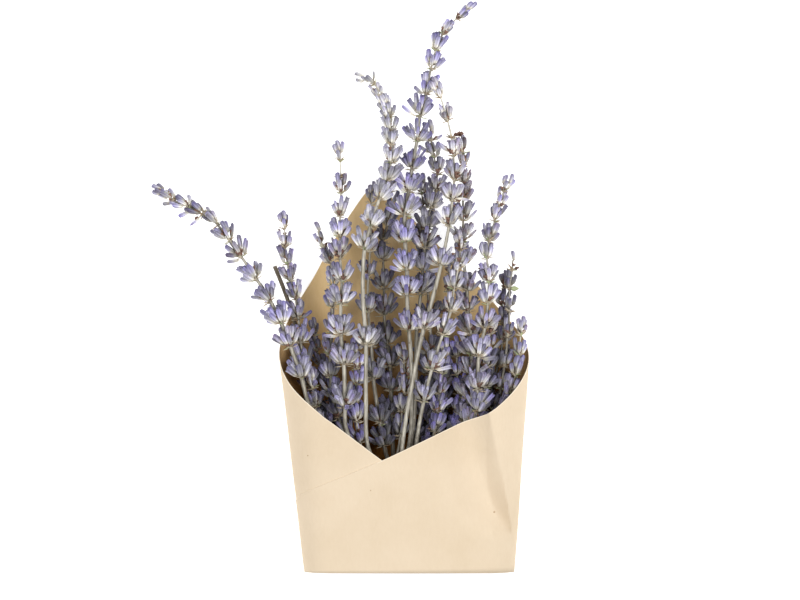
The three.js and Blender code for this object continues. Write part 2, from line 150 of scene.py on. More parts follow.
def show(name: str, data: Optional[bpy.types.ID]) -> Object:
    """Puts a mesh, lamp or camera in the scene.

    Args:
        name: the object's name.
        data: what it holds.

    Returns:
        The object, at the origin.
    """
    made = bpy.data.objects.new(name, data)
    bpy.context.scene.collection.objects.link(made)
    return made


def settle(source: Object, name: str) -> Object:
    """Turns an object and its modifiers into a plain mesh at the origin.

    Args:
        source: the object, which is removed.
        name: the finished piece's name.

    Returns:
        The finished piece.
    """
    graph = bpy.context.evaluated_depsgraph_get()
    evaluated = source.evaluated_get(graph)
    mesh = bpy.data.meshes.new_from_object(evaluated, preserve_all_data_layers=True, depsgraph=graph)
    bpy.data.objects.remove(source)
    piece = show(name, mesh)
    piece.name = name
    mesh.name = name
    return piece


# Node trees


@dataclass
class Graph:
    """Shorthand for filling one node tree."""

    tree: NodeTree

    def node(self, kind: str, inputs: Optional[dict] = None, **settings: object) -> Node:
        """Adds a node.

        Args:
            kind: the node's type.
            inputs: a socket's name or number, and the value or output that it gets.
            settings: the node's own properties.

        Returns:
            The new node.
        """
        made = self.tree.nodes.new(kind)
        for key, value in settings.items():
            setattr(made, key, value)
        for key, value in (inputs or {}).items():
            self.feed(made.inputs[key], value)
        return made

    def feed(self, socket: NodeSocket, value: Socketed) -> None:
        """Links an output to a socket, or sets the socket's value.

        Args:
            socket: the input.
            value: the output or the plain value that it gets.
        """
        if isinstance(value, NodeSocket):
            self.tree.links.new(value, socket)
        else:
            socket.default_value = value

    def math(self, operation: str, a: Socketed, b: Socketed, clamped: bool = False) -> NodeSocket:
        """Returns the output of a Math node."""
        return self.node("ShaderNodeMath", {0: a, 1: b}, operation=operation, use_clamp=clamped).outputs[0]

    def span(self, value: Socketed, low: float, high: float, out: Span = (0.0, 1.0)) -> NodeSocket:
        """Returns value mapped from low..high to the out range and kept there."""
        ends = {"Value": value, "From Min": low, "From Max": high, "To Min": out[0], "To Max": out[1]}
        return self.node("ShaderNodeMapRange", ends).outputs["Result"]

    def mix(self, share: Socketed, a: Socketed, b: Socketed, blend: str = "MIX") -> NodeSocket:
        """Returns two colours mixed by share."""
        ends = {0: share, 6: a, 7: b}
        return self.node("ShaderNodeMix", ends, data_type="RGBA", blend_type=blend).outputs[2]

    def ramp(self, value: Socketed, stops: Sequence[tuple[float, Colour]]) -> NodeSocket:
        """Adds a colour ramp.

        Args:
            value: what picks the colour.
            stops: the place and colour of each stop.

        Returns:
            The colour that value picks.
        """
        made = self.node("ShaderNodeValToRGB", {0: value})
        band = made.color_ramp
        while len(band.elements) < len(stops):
            band.elements.new(0.5)
        for element, (place, colour) in zip(band.elements, stops):
            element.position = place
            element.color = colour
        return made.outputs["Color"]

    def attribute(self, name: str) -> NodeSocket:
        """Returns a value that the piece's own mesh carries."""
        return self.node("ShaderNodeAttribute", attribute_name=name).outputs["Fac"]

    def place(self) -> NodeSocket:
        """Returns the surface's place in the piece's own space."""
        return self.node("ShaderNodeTexCoord").outputs["Object"]


def new_group(
    name: str, kind: str, inputs: Sequence[tuple[str, str, object]], outputs: Sequence[tuple[str, str]]
) -> NodeTree:
    """Makes a node group with its named inputs and outputs.

    Args:
        name: the group's name.
        kind: the tree's type.
        inputs: each input's name, socket type and first value.
        outputs: each output's name and socket type.

    Returns:
        The new group.
    """
    tree = bpy.data.node_groups.new(name, kind)
    for label, socket_type, value in inputs:
        socket = tree.interface.new_socket(label, in_out="INPUT", socket_type="NodeSocket" + socket_type)
        if value is not None:
            socket.default_value = value
    for label, socket_type in outputs:
        tree.interface.new_socket(label, in_out="OUTPUT", socket_type="NodeSocket" + socket_type)
    return tree


# Shader groups and finishes


def mottle_group() -> NodeTree:
    """Makes the uneven blotches and grain that every dried surface here shows.

    Returns:
        A group that puts out a blotch mask, a fine grain mask and a height.
    """
    tree = new_group(
        "dry_mottle",
        "ShaderNodeTree",
        [
            ("Blotch Scale", "Float", 120.0),
            ("Grain Scale", "Float", 1500.0),
            ("Stretch", "Vector", (1.0, 1.0, 1.0)),
        ],
        [("Blotch", "Float"), ("Grain", "Float"), ("Height", "Float")],
    )
    g = Graph(tree)
    given, place = g.node("NodeGroupInput").outputs, g.place()
    stretch = g.node("ShaderNodeVectorMath", {0: place, 1: given["Stretch"]}, operation="MULTIPLY")
    looks = (
        (place, "Blotch Scale", BLOTCH_NOISE, BLOTCH_SPAN),
        (stretch.outputs[0], "Grain Scale", GRAIN_NOISE, GRAIN_SPAN),
    )
    masks = []
    for where, scale, (detail, roughness), ends in looks:
        noise = {"Vector": where, "Scale": given[scale], "Detail": detail, "Roughness": roughness}
        masks.append(g.span(g.node("ShaderNodeTexNoise", noise).outputs[0], *ends))
    blotch, grain = (g.math("MULTIPLY", mask, weight) for mask, weight in zip(masks, RELIEF_WEIGHTS))
    g.node("NodeGroupOutput", {"Blotch": masks[0], "Grain": masks[1], "Height": g.math("ADD", blotch, grain)})
    return tree


def fleck_group() -> NodeTree:
    """Makes sparse small flecks, as bran in kraft paper or dark spots on a dry calyx.

    Returns:
        A group that puts out a mask of the flecks.
    """
    tree = new_group(
        "flecks",
        "ShaderNodeTree",
        [("Scale", "Float", 300.0), ("Size", "Float", 0.12), ("Share", "Float", 0.3)],
        [("Mask", "Float")],
    )
    g = Graph(tree)
    given = g.node("NodeGroupInput").outputs
    cells = g.node("ShaderNodeTexVoronoi", {"Vector": g.place(), "Scale": given["Scale"]}).outputs
    pick = g.node("ShaderNodeSeparateColor", {0: cells["Color"]}).outputs[0]
    near = g.math("LESS_THAN", cells["Distance"], given["Size"])
    chosen = g.math("LESS_THAN", pick, given["Share"])
    g.node("NodeGroupOutput", {"Mask": g.math("MULTIPLY", near, chosen)})
    return tree


@dataclass
class Palette:
    """The shader groups that the finishes share."""

    mottle: NodeTree
    flecks: NodeTree

    @classmethod
    def make(cls) -> "Palette":
        """Builds the shared groups once."""
        return cls(mottle_group(), fleck_group())


@dataclass
class Surface:
    """A material in the making, with its mottling and flecks in place."""

    material: Material
    graph: Graph
    shader: Node
    mottle: Node
    flecks: Node

    @classmethod
    def begin(cls, name: str, palette: Palette, scales: Span, stretch: Point, flecks: Point) -> "Surface":
        """Starts a material.

        Args:
            name: the material's name.
            palette: the shared groups.
            scales: the scales of its blotches and grain.
            stretch: how the grain is drawn out along the axes.
            flecks: the scale, size and share of its flecks.

        Returns:
            The surface, with nothing fed to its shader yet.
        """
        material, g, shader = start_material(name)
        groups = []
        for tree, names, values in (
            (palette.mottle, ("Blotch Scale", "Grain Scale", "Stretch"), (*scales, stretch)),
            (palette.flecks, ("Scale", "Size", "Share"), flecks),
        ):
            made = g.node("ShaderNodeGroup", node_tree=tree)
            for label, value in zip(names, values):
                g.feed(made.inputs[label], value)
            groups.append(made)
        return cls(material, g, shader, *groups)

    def unevenness(self, grain_share: float) -> NodeSocket:
        """Joins the blotches and the grain in one mask.

        Args:
            grain_share: the grain's share of it.

        Returns:
            The mask.
        """
        masks = (("Blotch", 1.0 - grain_share), ("Grain", grain_share))
        parts = [self.graph.math("MULTIPLY", self.mottle.outputs[name], weight) for name, weight in masks]
        return self.graph.math("ADD", *parts)

    def tinge(self, body: Socketed, mask: Socketed, strength: float, colour: Colour) -> NodeSocket:
        """Returns the body colour, turned to another where a mask is set."""
        return self.graph.mix(self.graph.math("MULTIPLY", mask, strength), body, colour)

    def close(self, body: Socketed, roughness: float, specular: float, relief: Span) -> Material:
        """Feeds the shader.

        Args:
            body: the surface's colour.
            roughness: its roughness.
            specular: its specular level.
            relief: the strength and depth of its bump.

        Returns:
            The finished material.
        """
        shader, bump = self.shader.inputs, {"Height": self.mottle.outputs["Height"]}
        bump["Strength"], bump["Distance"] = relief
        for name, value in (("Base Color", body), ("Roughness", roughness), ("Specular IOR Level", specular)):
            self.graph.feed(shader[name], value)
        self.graph.feed(shader["Normal"], self.graph.node("ShaderNodeBump", bump).outputs[0])
        return self.material


def start_material(name: str) -> tuple[Material, Graph, Node]:
    """Makes an empty material.

    Args:
        name: the material's name.

    Returns:
        The material, its graph and its Principled node.
    """
    material = bpy.data.materials.new(name)
    material.use_nodes = True
    material.node_tree.nodes.clear()
    g = Graph(material.node_tree)
    shader = g.node("ShaderNodeBsdfPrincipled")
    g.node("ShaderNodeOutputMaterial", {"Surface": shader.outputs[0]})
    return material, g, shader


@dataclass(frozen=True)
class PaperFinish:
    """Kraft paper: soft mottling, fine fibres, sparse brown flecks and a paler cut edge.

    The colour for far down inside, below the heights of its span, is painted shade, and so is the darker
    colour in the valley beside the hard crease.
    """

    name: str
    light: Colour
    dark: Colour
    fleck: Colour
    painted_deep_shade: Optional[Colour] = None
    painted_deep_shade_span: Span = (0.045, 0.1)
    worn: Colour = srgb(176, 152, 122)
    edge: Colour = srgb(246, 234, 214)
    scales: Span = (34.0, 900.0)
    stretch: Point = (1.0, 0.35, 1.0)
    flecks: Point = (150.0, 0.07, 0.16)
    grain_share: float = 0.3
    painted_crease_shade_strength: float = 0.42
    fleck_strength: float = 0.55
    edge_strength: float = 0.8
    roughness: float = 0.86
    specular: float = 0.25
    relief: Span = (0.25, 0.00025)

    def build(self, palette: Palette) -> Material:
        """Makes the material.

        Args:
            palette: the shared groups.

        Returns:
            The material.
        """
        paper = Surface.begin(self.name, palette, self.scales, self.stretch, self.flecks)
        g = paper.graph
        body = g.mix(paper.unevenness(self.grain_share), self.light, self.dark)
        # Painted shade: the inside is darker far down in the wrap, below the heights of its span.
        if self.painted_deep_shade:
            height = g.node("ShaderNodeSeparateXYZ", {0: g.place()}).outputs[1]
            body = g.mix(g.span(height, *self.painted_deep_shade_span), self.painted_deep_shade, body)
        # Painted shade in the valley beside the crease.
        body = paper.tinge(body, g.attribute("worn"), self.painted_crease_shade_strength, self.worn)
        body = paper.tinge(body, paper.flecks.outputs["Mask"], self.fleck_strength, self.fleck)
        body = paper.tinge(body, g.attribute("cut"), self.edge_strength, self.edge)
        return paper.close(body, self.roughness, self.specular, self.relief)


@dataclass(frozen=True)
class CalyxFinish:
    """Downy dried calyx: straw at the stalk, whitish grey above it and lilac at the tip.

    grey and violet are the colours above the cup and at the tip of a grey and a violet calyx. The
    tone spans are the brightness over each calyx's own tone and painted shade, over the grain, and over
    the ribs, where it is a painted highlight on each rib and painted shade between them.
    """

    name: str
    stalk: Colour = srgb(200, 188, 166)
    cup: Colour = srgb(212, 208, 197)
    grey: tuple[Colour, Colour] = (srgb(188, 187, 190), srgb(148, 146, 160))
    violet: tuple[Colour, Colour] = (srgb(164, 159, 200), srgb(114, 106, 168))
    aged: Colour = srgb(120, 92, 78)
    base_stops: tuple[float, ...] = (0.0, 0.22, 0.34, 0.42)
    grey_stops: Span = (0.66, 0.97)
    violet_stops: Span = (0.6, 0.97)
    scales: Span = (420.0, 2600.0)
    stretch: Point = (1.0, 0.6, 1.0)
    flecks: Point = (900.0, 0.3, 0.1)
    hue_blotches: float = 0.3
    aged_span: Span = (0.2, 0.8)
    aged_strength: float = 0.7
    fleck_strength: float = 0.45
    tone_and_shade_brightness: Span = (0.38, 1.5)
    grain_tone: Span = (0.82, 1.1)
    rib_span: Span = (0.1, 0.9)
    rib_highlight_and_shade: Span = (0.71, 1.24)
    sheen: Span = (0.15, 0.5)
    roughness: float = 0.78
    specular: float = 0.2
    relief: Span = (0.35, 0.00012)

    def build(self, palette: Palette) -> Material:
        """Makes the material.

        Args:
            palette: the shared groups.

        Returns:
            The material.
        """
        down = Surface.begin(self.name, palette, self.scales, self.stretch, self.flecks)
        g, blotch = down.graph, down.mottle.outputs["Blotch"]
        along = g.attribute("along")
        low = list(zip(self.base_stops, (self.stalk, self.stalk, self.cup, self.cup)))
        grey = g.ramp(along, low + list(zip(self.grey_stops, self.grey)))
        violet = g.ramp(along, low + list(zip(self.violet_stops, self.violet)))
        uneven = g.math("MULTIPLY", blotch, self.hue_blotches)
        hue = g.math("ADD", g.attribute("violet"), uneven, clamped=True)
        body = g.mix(hue, grey, violet)
        old = g.math("MULTIPLY", g.attribute("aged"), g.span(blotch, *self.aged_span), clamped=True)
        body = down.tinge(body, old, self.aged_strength, self.aged)
        body = down.tinge(body, down.flecks.outputs["Mask"], self.fleck_strength, self.aged)
        # Brightness: the calyx's own tone with painted shade, the grain, then a painted highlight on each rib
        # and painted shade between them.
        tint = g.span(g.attribute("tint"), 0.0, 1.0, self.tone_and_shade_brightness)
        tone = g.math("MULTIPLY", tint, g.span(down.mottle.outputs["Grain"], 0.0, 1.0, self.grain_tone))
        tone = g.math("MULTIPLY", tone, g.span(g.attribute("rib"), *self.rib_span, self.rib_highlight_and_shade))
        tones = g.node("ShaderNodeCombineColor", {0: tone, 1: tone, 2: tone}).outputs[0]
        for name, value in zip(("Sheen Weight", "Sheen Roughness"), self.sheen):
            g.feed(down.shader.inputs[name], value)
        return down.close(g.mix(1.0, body, tones, "MULTIPLY"), self.roughness, self.specular, self.relief)


@dataclass(frozen=True)
class DryFinish:
    """A dry plant surface between two colours: stems, bracts and shrivelled petals.

    A value on each point, which holds both its own tone and painted shade, shifts the share of the dark
    colour over its shift span. The grooves of a ribbed piece get painted shade, less so on thin pale tips,
    and fresh is the colour of a green piece.
    """

    name: str
    pale: Colour
    dark: Colour
    spots: Colour
    blotch_scale: float
    stretch: Point = (1.0, 1.0, 1.0)
    grain_scale: float = 2200.0
    spot_places: Point = (520.0, 0.22, 0.15)
    spot_strength: float = 0.6
    grain_share: float = 0.4
    tone_and_shade_shift: Span = (0.4, -0.32)
    groove_shade: float = 0.0
    groove_shade_tints: Span = (0.55, 0.85)
    groove_shade_fade: Span = (1.0, 0.15)
    fresh: Optional[Colour] = None
    fresh_tints: Span = (0.84, 0.9)
    roughness: float = 0.72
    specular: float = 0.3
    bump: float = 0.3
    bump_depth: float = 0.00015

    def build(self, palette: Palette) -> Material:
        """Makes the material.

        Args:
            palette: the shared groups.

        Returns:
            The material.
        """
        scales = (self.blotch_scale, self.grain_scale)
        skin = Surface.begin(self.name, palette, scales, self.stretch, self.spot_places)
        g, tint = skin.graph, skin.graph.attribute("tint")
        share = g.math("ADD", skin.unevenness(self.grain_share), g.span(tint, 0.0, 1.0, self.tone_and_shade_shift))
        # Painted shade in the grooves, less on thin pale tips.
        painted_groove_shade = g.span(g.attribute("rib"), 0.0, 1.0, (self.groove_shade, 0.0))
        painted_groove_shade = g.math("MULTIPLY", painted_groove_shade, g.span(tint, *self.groove_shade_tints, self.groove_shade_fade))
        body = g.mix(g.math("ADD", share, painted_groove_shade, clamped=True), self.pale, self.dark)
        if self.fresh:
            body = g.mix(g.span(tint, *self.fresh_tints), body, self.fresh)
        body = skin.tinge(body, skin.flecks.outputs["Mask"], self.spot_strength, self.spots)
        return skin.close(body, self.roughness, self.specular, (self.bump, self.bump_depth))


# The paper wrap


@dataclass(frozen=True)
class EdgePoint:
    """A point of the sheet's upper edge, by its turn round the wrap."""

    turn: float
    height: float


@dataclass(frozen=True)
class Crease:
    """The crease at one height: where its ridge stands, and the width and slope of the valley left of it."""

    height: float
    ridge: float
    valley: float
    slope: float


EDGE_POINTS = tuple(EdgePoint(turn, height) for turn, height in (
    (0.3, 11), (0.652, 28.6), (1, 47.4), (1.2, 56.3), (1.35, 63.5), (1.5, 73), (1.876, 101.7),
    (2, 113.5), (2.07, 124), (2.17, 135), (2.275, 145.2), (2.35, 147.5), (3, 100.5), (3.19, 88.4),
    (3.35, 81), (3.5, 72.5), (3.68, 63), (3.85, 54.4), (4, 48), (4.1, 46.7), (4.652, 28.6), (5, 18.8),
    (5.5, 10.5),
))


@dataclass
class PaperWrap:
    """One sheet of kraft paper, wound right flap over left round a flat back.

    A turn of 0 to 1 is the front from right to left, 1 to 2 the left side, 2 to 3 the back, 3 to 4
    the right side, and from 4 the front again, where the sheet overlaps itself.
    """

    bottom: float = -19.99
    ceiling: float = 39.4
    reach: Span = (-108.0, 55.2)
    mouth: float = 73.0
    centre: Span = (4.1, 1.6)
    half_width: Span = (45.6, 54.3)
    depth: Span = (24.0, 38.0)
    crown: float = 1.6
    packed_thickness: float = 0.8
    packed_lap: float = 1.1
    lap: float = 0.36
    lap_turns: Span = (1.5, 2.0)
    thickness: float = 0.28
    rows: int = 30
    column_step: float = 0.033
    edge: tuple[EdgePoint, ...] = EDGE_POINTS
    easing: tuple[float, ...] = (-0.07, -0.035, 0.0, 0.035, 0.07)
    peak_turns: Span = (2.2, 2.6)
    back_turns: Span = (1.95, 3.05)
    rim_width: float = 0.45
    hidden_rim_turns: Span = (4.64, 4.74)
    hidden_rim: float = 0.85
    waves: tuple[Point, ...] = ((1.9, 0.045, 0.0), (0.9, -0.06, 1.0), (4.3, 0.11, 2.0))
    third_wave: float = 0.5
    ripple_depth: float = 0.28
    crease_turns: Span = (3.64, 4.26)
    crease: tuple[Crease, ...] = (
        Crease(-3.0, 48.4, 0.8, 0.9),
        Crease(3.0, 47.4, 3.8, 1.0),
        Crease(8.0, 46.6, 6.0, 0.84),
        Crease(18.3, 44.8, 9.2, 0.6),
        Crease(33.0, 41.6, 11.4, 0.5),
        Crease(48.5, 38.3, 12.0, 0.45),
    )
    crease_step: float = 0.009
    crease_curve: float = 1.8
    crease_return: float = 20.0
    # The painted shade beside the crease fades out between these heights.
    painted_crease_shade_heights: Span = (6.0, 30.0)

    def section(self, y: float) -> tuple[float, float, float]:
        """Works out the wrap's cross-section.

        Args:
            y: its height.

        Returns:
            Its middle, the radius of its round sides and half the width of its flat part.
        """
        share = clamp((y - self.bottom) / (self.mouth - self.bottom))
        radius = lerp(*self.depth, share) / 2
        return lerp(*self.centre, share), radius, lerp(*self.half_width, share) - radius

    def point(self, turn: float, y: float, inset: float) -> Vector:
        """Finds a point of the sheet.

        Args:
            turn: how far round the wrap it is.
            y: its height.
            inset: how far it lies inside the outer surface.

        Returns:
            The point.
        """
        centre, radius, flat = self.section(y)
        side = Side(int(turn) % 4)
        along = turn - int(turn)
        if side is Side.BACK:
            return Vector((centre - flat + 2 * flat * along, y, inset))
        if side is Side.FRONT:
            across = 1 - 2 * along
            height = 2 * radius + self.crown * (1 - across * across) - inset
            return Vector((centre + flat * across, y, height))
        angle = math.pi * ((0.5 if side is Side.LEFT else 1.5) + along)
        reach = radius - inset
        sign = -1 if side is Side.LEFT else 1
        return Vector((centre + sign * flat + reach * math.cos(angle), y, radius + reach * math.sin(angle)))

    def edge_height(self, turn: float) -> float:
        """Returns the height of the sheet's upper edge at a turn."""
        turns = [point.turn for point in self.edge]
        return float(np.interp(turn, turns, [point.height for point in self.edge]))

    def soft_edge(self, turn: float) -> float:
        """Works out the upper edge with its small corners eased, but not its peak.

        Args:
            turn: how far round the wrap it is.

        Returns:
            The edge's height there.
        """
        low, high = self.peak_turns
        steps = (0.0,) if low < turn < high else self.easing
        return sum(self.edge_height(turn + step) for step in steps) / len(steps)

    def inset_at(self, turn: float) -> float:
        """Returns how far the tucked flap lies inside the outer one."""
        return self.lap * (1 - smooth(*self.lap_turns, turn))

    def beside_crease(self, turn: float, place: Vector) -> tuple[float, float, float]:
        """Finds a place relative to the crease.

        Args:
            turn: how far round the wrap it is.
            place: a point of the sheet.

        Returns:
            How far left of the ridge it lies, and the valley's width and slope at its height. The
            first is negative where there is no crease.
        """
        if turn < self.crease_turns[0] or place.y < self.crease[0].height:
            return -1.0, 1.0, 0.0
        heights = [mark.height for mark in self.crease]
        ridge, valley, slope = (
            float(np.interp(place.y, heights, values))
            for values in zip(*((mark.ridge, mark.valley, mark.slope) for mark in self.crease))
        )
        return ridge - place.x, valley, slope

    def dent(self, turn: float, place: Vector) -> float:
        """Finds how far the valley beside the crease sinks the outer flap.

        Args:
            turn: how far round the wrap the place is.
            place: a point of the sheet.

        Returns:
            The depth there.
        """
        left, valley, slope = self.beside_crease(turn, place)
        if left <= 0:
            return 0.0
        depth = valley * slope
        if left < valley:
            return depth * (1 - (1 - left / valley) ** self.crease_curve)
        return depth * (1 - smooth(valley, valley + self.crease_return, left))

    def crease_shade_share(self, turn: float, place: Vector) -> float:
        """Finds the painted shade beside the crease, strongest beside its lower end.

        Args:
            turn: how far round the wrap the place is.
            place: a point of the sheet.

        Returns:
            A share of 0 to 1.
        """
        left, valley, _ = self.beside_crease(turn, place)
        if not 0 <= left < valley:
            return 0.0
        return (1 - left / valley) * (1 - smooth(*self.painted_crease_shade_heights, place.y))

    def ripple(self, turn: float, y: float) -> float:
        """Works out the slight unevenness of the sheet.

        Args:
            turn: how far round the wrap the place is.
            y: its height.

        Returns:
            How far the sheet lies inward there, which is never less than nothing.
        """
        first, second, third = (math.sin(a * turn + b * y + c) for a, b, c in self.waves)
        height, highest = first * second + self.third_wave * third, 1 + self.third_wave
        return self.ripple_depth * (height + highest) / (2 * highest)

    def clears(self, place: Vector, radius: float) -> bool:
        """Tells whether a ball keeps clear of the sheet and inside the space the bunch takes.

        Args:
            place: its middle.
            radius: its radius.

        Returns:
            True if it does.
        """
        low, high = self.reach
        if place.z > self.ceiling - radius or not low + radius < place.x < high - radius:
            return False
        centre, side_radius, flat = self.section(place.y)
        wall = self.packed_thickness + self.packed_lap + radius
        across = place.x - centre
        if abs(across) <= flat:
            back = 2 + (across + flat) / (2 * flat)
            front = (1 - across / flat) / 2
            if place.z < radius + (self.packed_thickness if place.y < self.edge_height(back) else 0.0):
                return False
            edge = self.edge_height(4 + front)
            if front >= self.edge[0].turn:
                edge = max(edge, self.edge_height(front))
            return place.y > edge + radius or place.z < 2 * side_radius - wall - self.dent(4 + front, place)
        beyond = abs(across) - flat
        angle = math.atan2(place.z - side_radius, beyond)
        turn = 1.5 - angle / math.pi if across < 0 else 3.5 + angle / math.pi
        out = math.hypot(beyond, place.z - side_radius)
        return place.z > radius and (place.y > self.edge_height(turn) + radius or out < side_radius - wall)

    def columns(self) -> list[float]:
        """Sets out the sheet's columns of facets, closer together at the crease.

        Returns:
            The turn of each.
        """
        first, last = self.edge[0].turn, self.edge[-1].turn
        turns = list(np.linspace(first, last, int((last - first) / self.column_step) + 1))
        peak = max(self.edge, key=lambda point: point.height).turn
        nearest = min(range(len(turns)), key=lambda k: abs(turns[k] - peak))
        turns[nearest] = peak
        low, high = self.crease_turns
        fine = list(np.arange(low, high, self.crease_step))
        return sorted([turn for turn in turns if not low - 0.5 * self.crease_step < turn < high] + fine)

    def build(self, finishes: Sequence[Material]) -> Object:
        """Makes the sheet.

        Args:
            finishes: the materials of the outer face, the inner face and the cut edge.

        Returns:
            The finished piece.
        """
        vertices, worn, cut, faces = [], [], [], []
        turns, step = self.columns(), self.rows + 1
        flat_from, flat_to = self.back_turns
        for column, turn in enumerate(turns):
            top = self.soft_edge(turn)
            for row in range(step):
                y = lerp(self.bottom, top - self.rim_width, row / (self.rows - 1))
                y = top if row == self.rows else y
                inset = self.inset_at(turn)
                place = self.point(turn, y, inset)
                # Painted shade beside the crease, kept on each point.
                worn.append(self.crease_shade_share(turn, place))
                rippled = 0.0 if flat_from < turn < flat_to else self.ripple(turn, y)
                vertices.append(tuple(self.point(turn, y, inset + self.dent(turn, place) + rippled) * MM))
            cut += [0.0] * self.rows + [1.0 - self.hidden_rim * smooth(*self.hidden_rim_turns, turn)]
            if column:
                starts = range((column - 1) * step, column * step - 1)
                faces += [(a, a + 1, a + step + 1, a + step) for a in starts]
        mesh = smooth_mesh("paper_sheet", vertices, faces)
        write(mesh, "cut", "FLOAT", cut)
        write(mesh, "worn", "FLOAT", worn)
        for finish in finishes:
            mesh.materials.append(finish)
        sheet = show("paper_sheet", mesh)
        wall = sheet.modifiers.new("wall", "SOLIDIFY")
        wall.thickness = self.thickness * MM
        wall.offset = -1.0
        wall.material_offset = 1
        wall.material_offset_rim = 2
        return settle(sheet, "paper_sheet")


# The stems and their flower spikes


@dataclass(frozen=True)
class Route:
    """A stem as drawn on the layout grid, from its tip down to where the wrap hides it.

    slot is its place in the tied bundle, and line lists column, row and height above the surface in
    millimetres. whorls counts the points after the tip that carry a ring of flowers, and lone is one
    that carries a ring further down. violet runs from grey to violet. shade runs from dark to pale: it
    is partly the stem's own tone and partly painted shade that darkens the stems deep in the bunch.
    lower is the height on the sheet below which rings grow further down too, inside the wrap (0 for
    none), vigour is how full the rings are, and ripening the ring from the tip that is the first full
    one. buds counts the calyces that close the tip, bald lists the rings that lost their flowers, by
    number from the tip, and leaf is where a small green leaf grows.
    """

    name: str
    slot: Span
    whorls: int
    line: tuple[Point, ...]
    lone: int = 0
    violet: float = 0.4
    shade: float = 0.5
    aged: float = 0.25
    lower: float = 400.0
    vigour: float = 1.0
    ripening: float = 5.0
    buds: int = 2
    bald: tuple[int, ...] = ()
    leaf: Optional[Point] = None
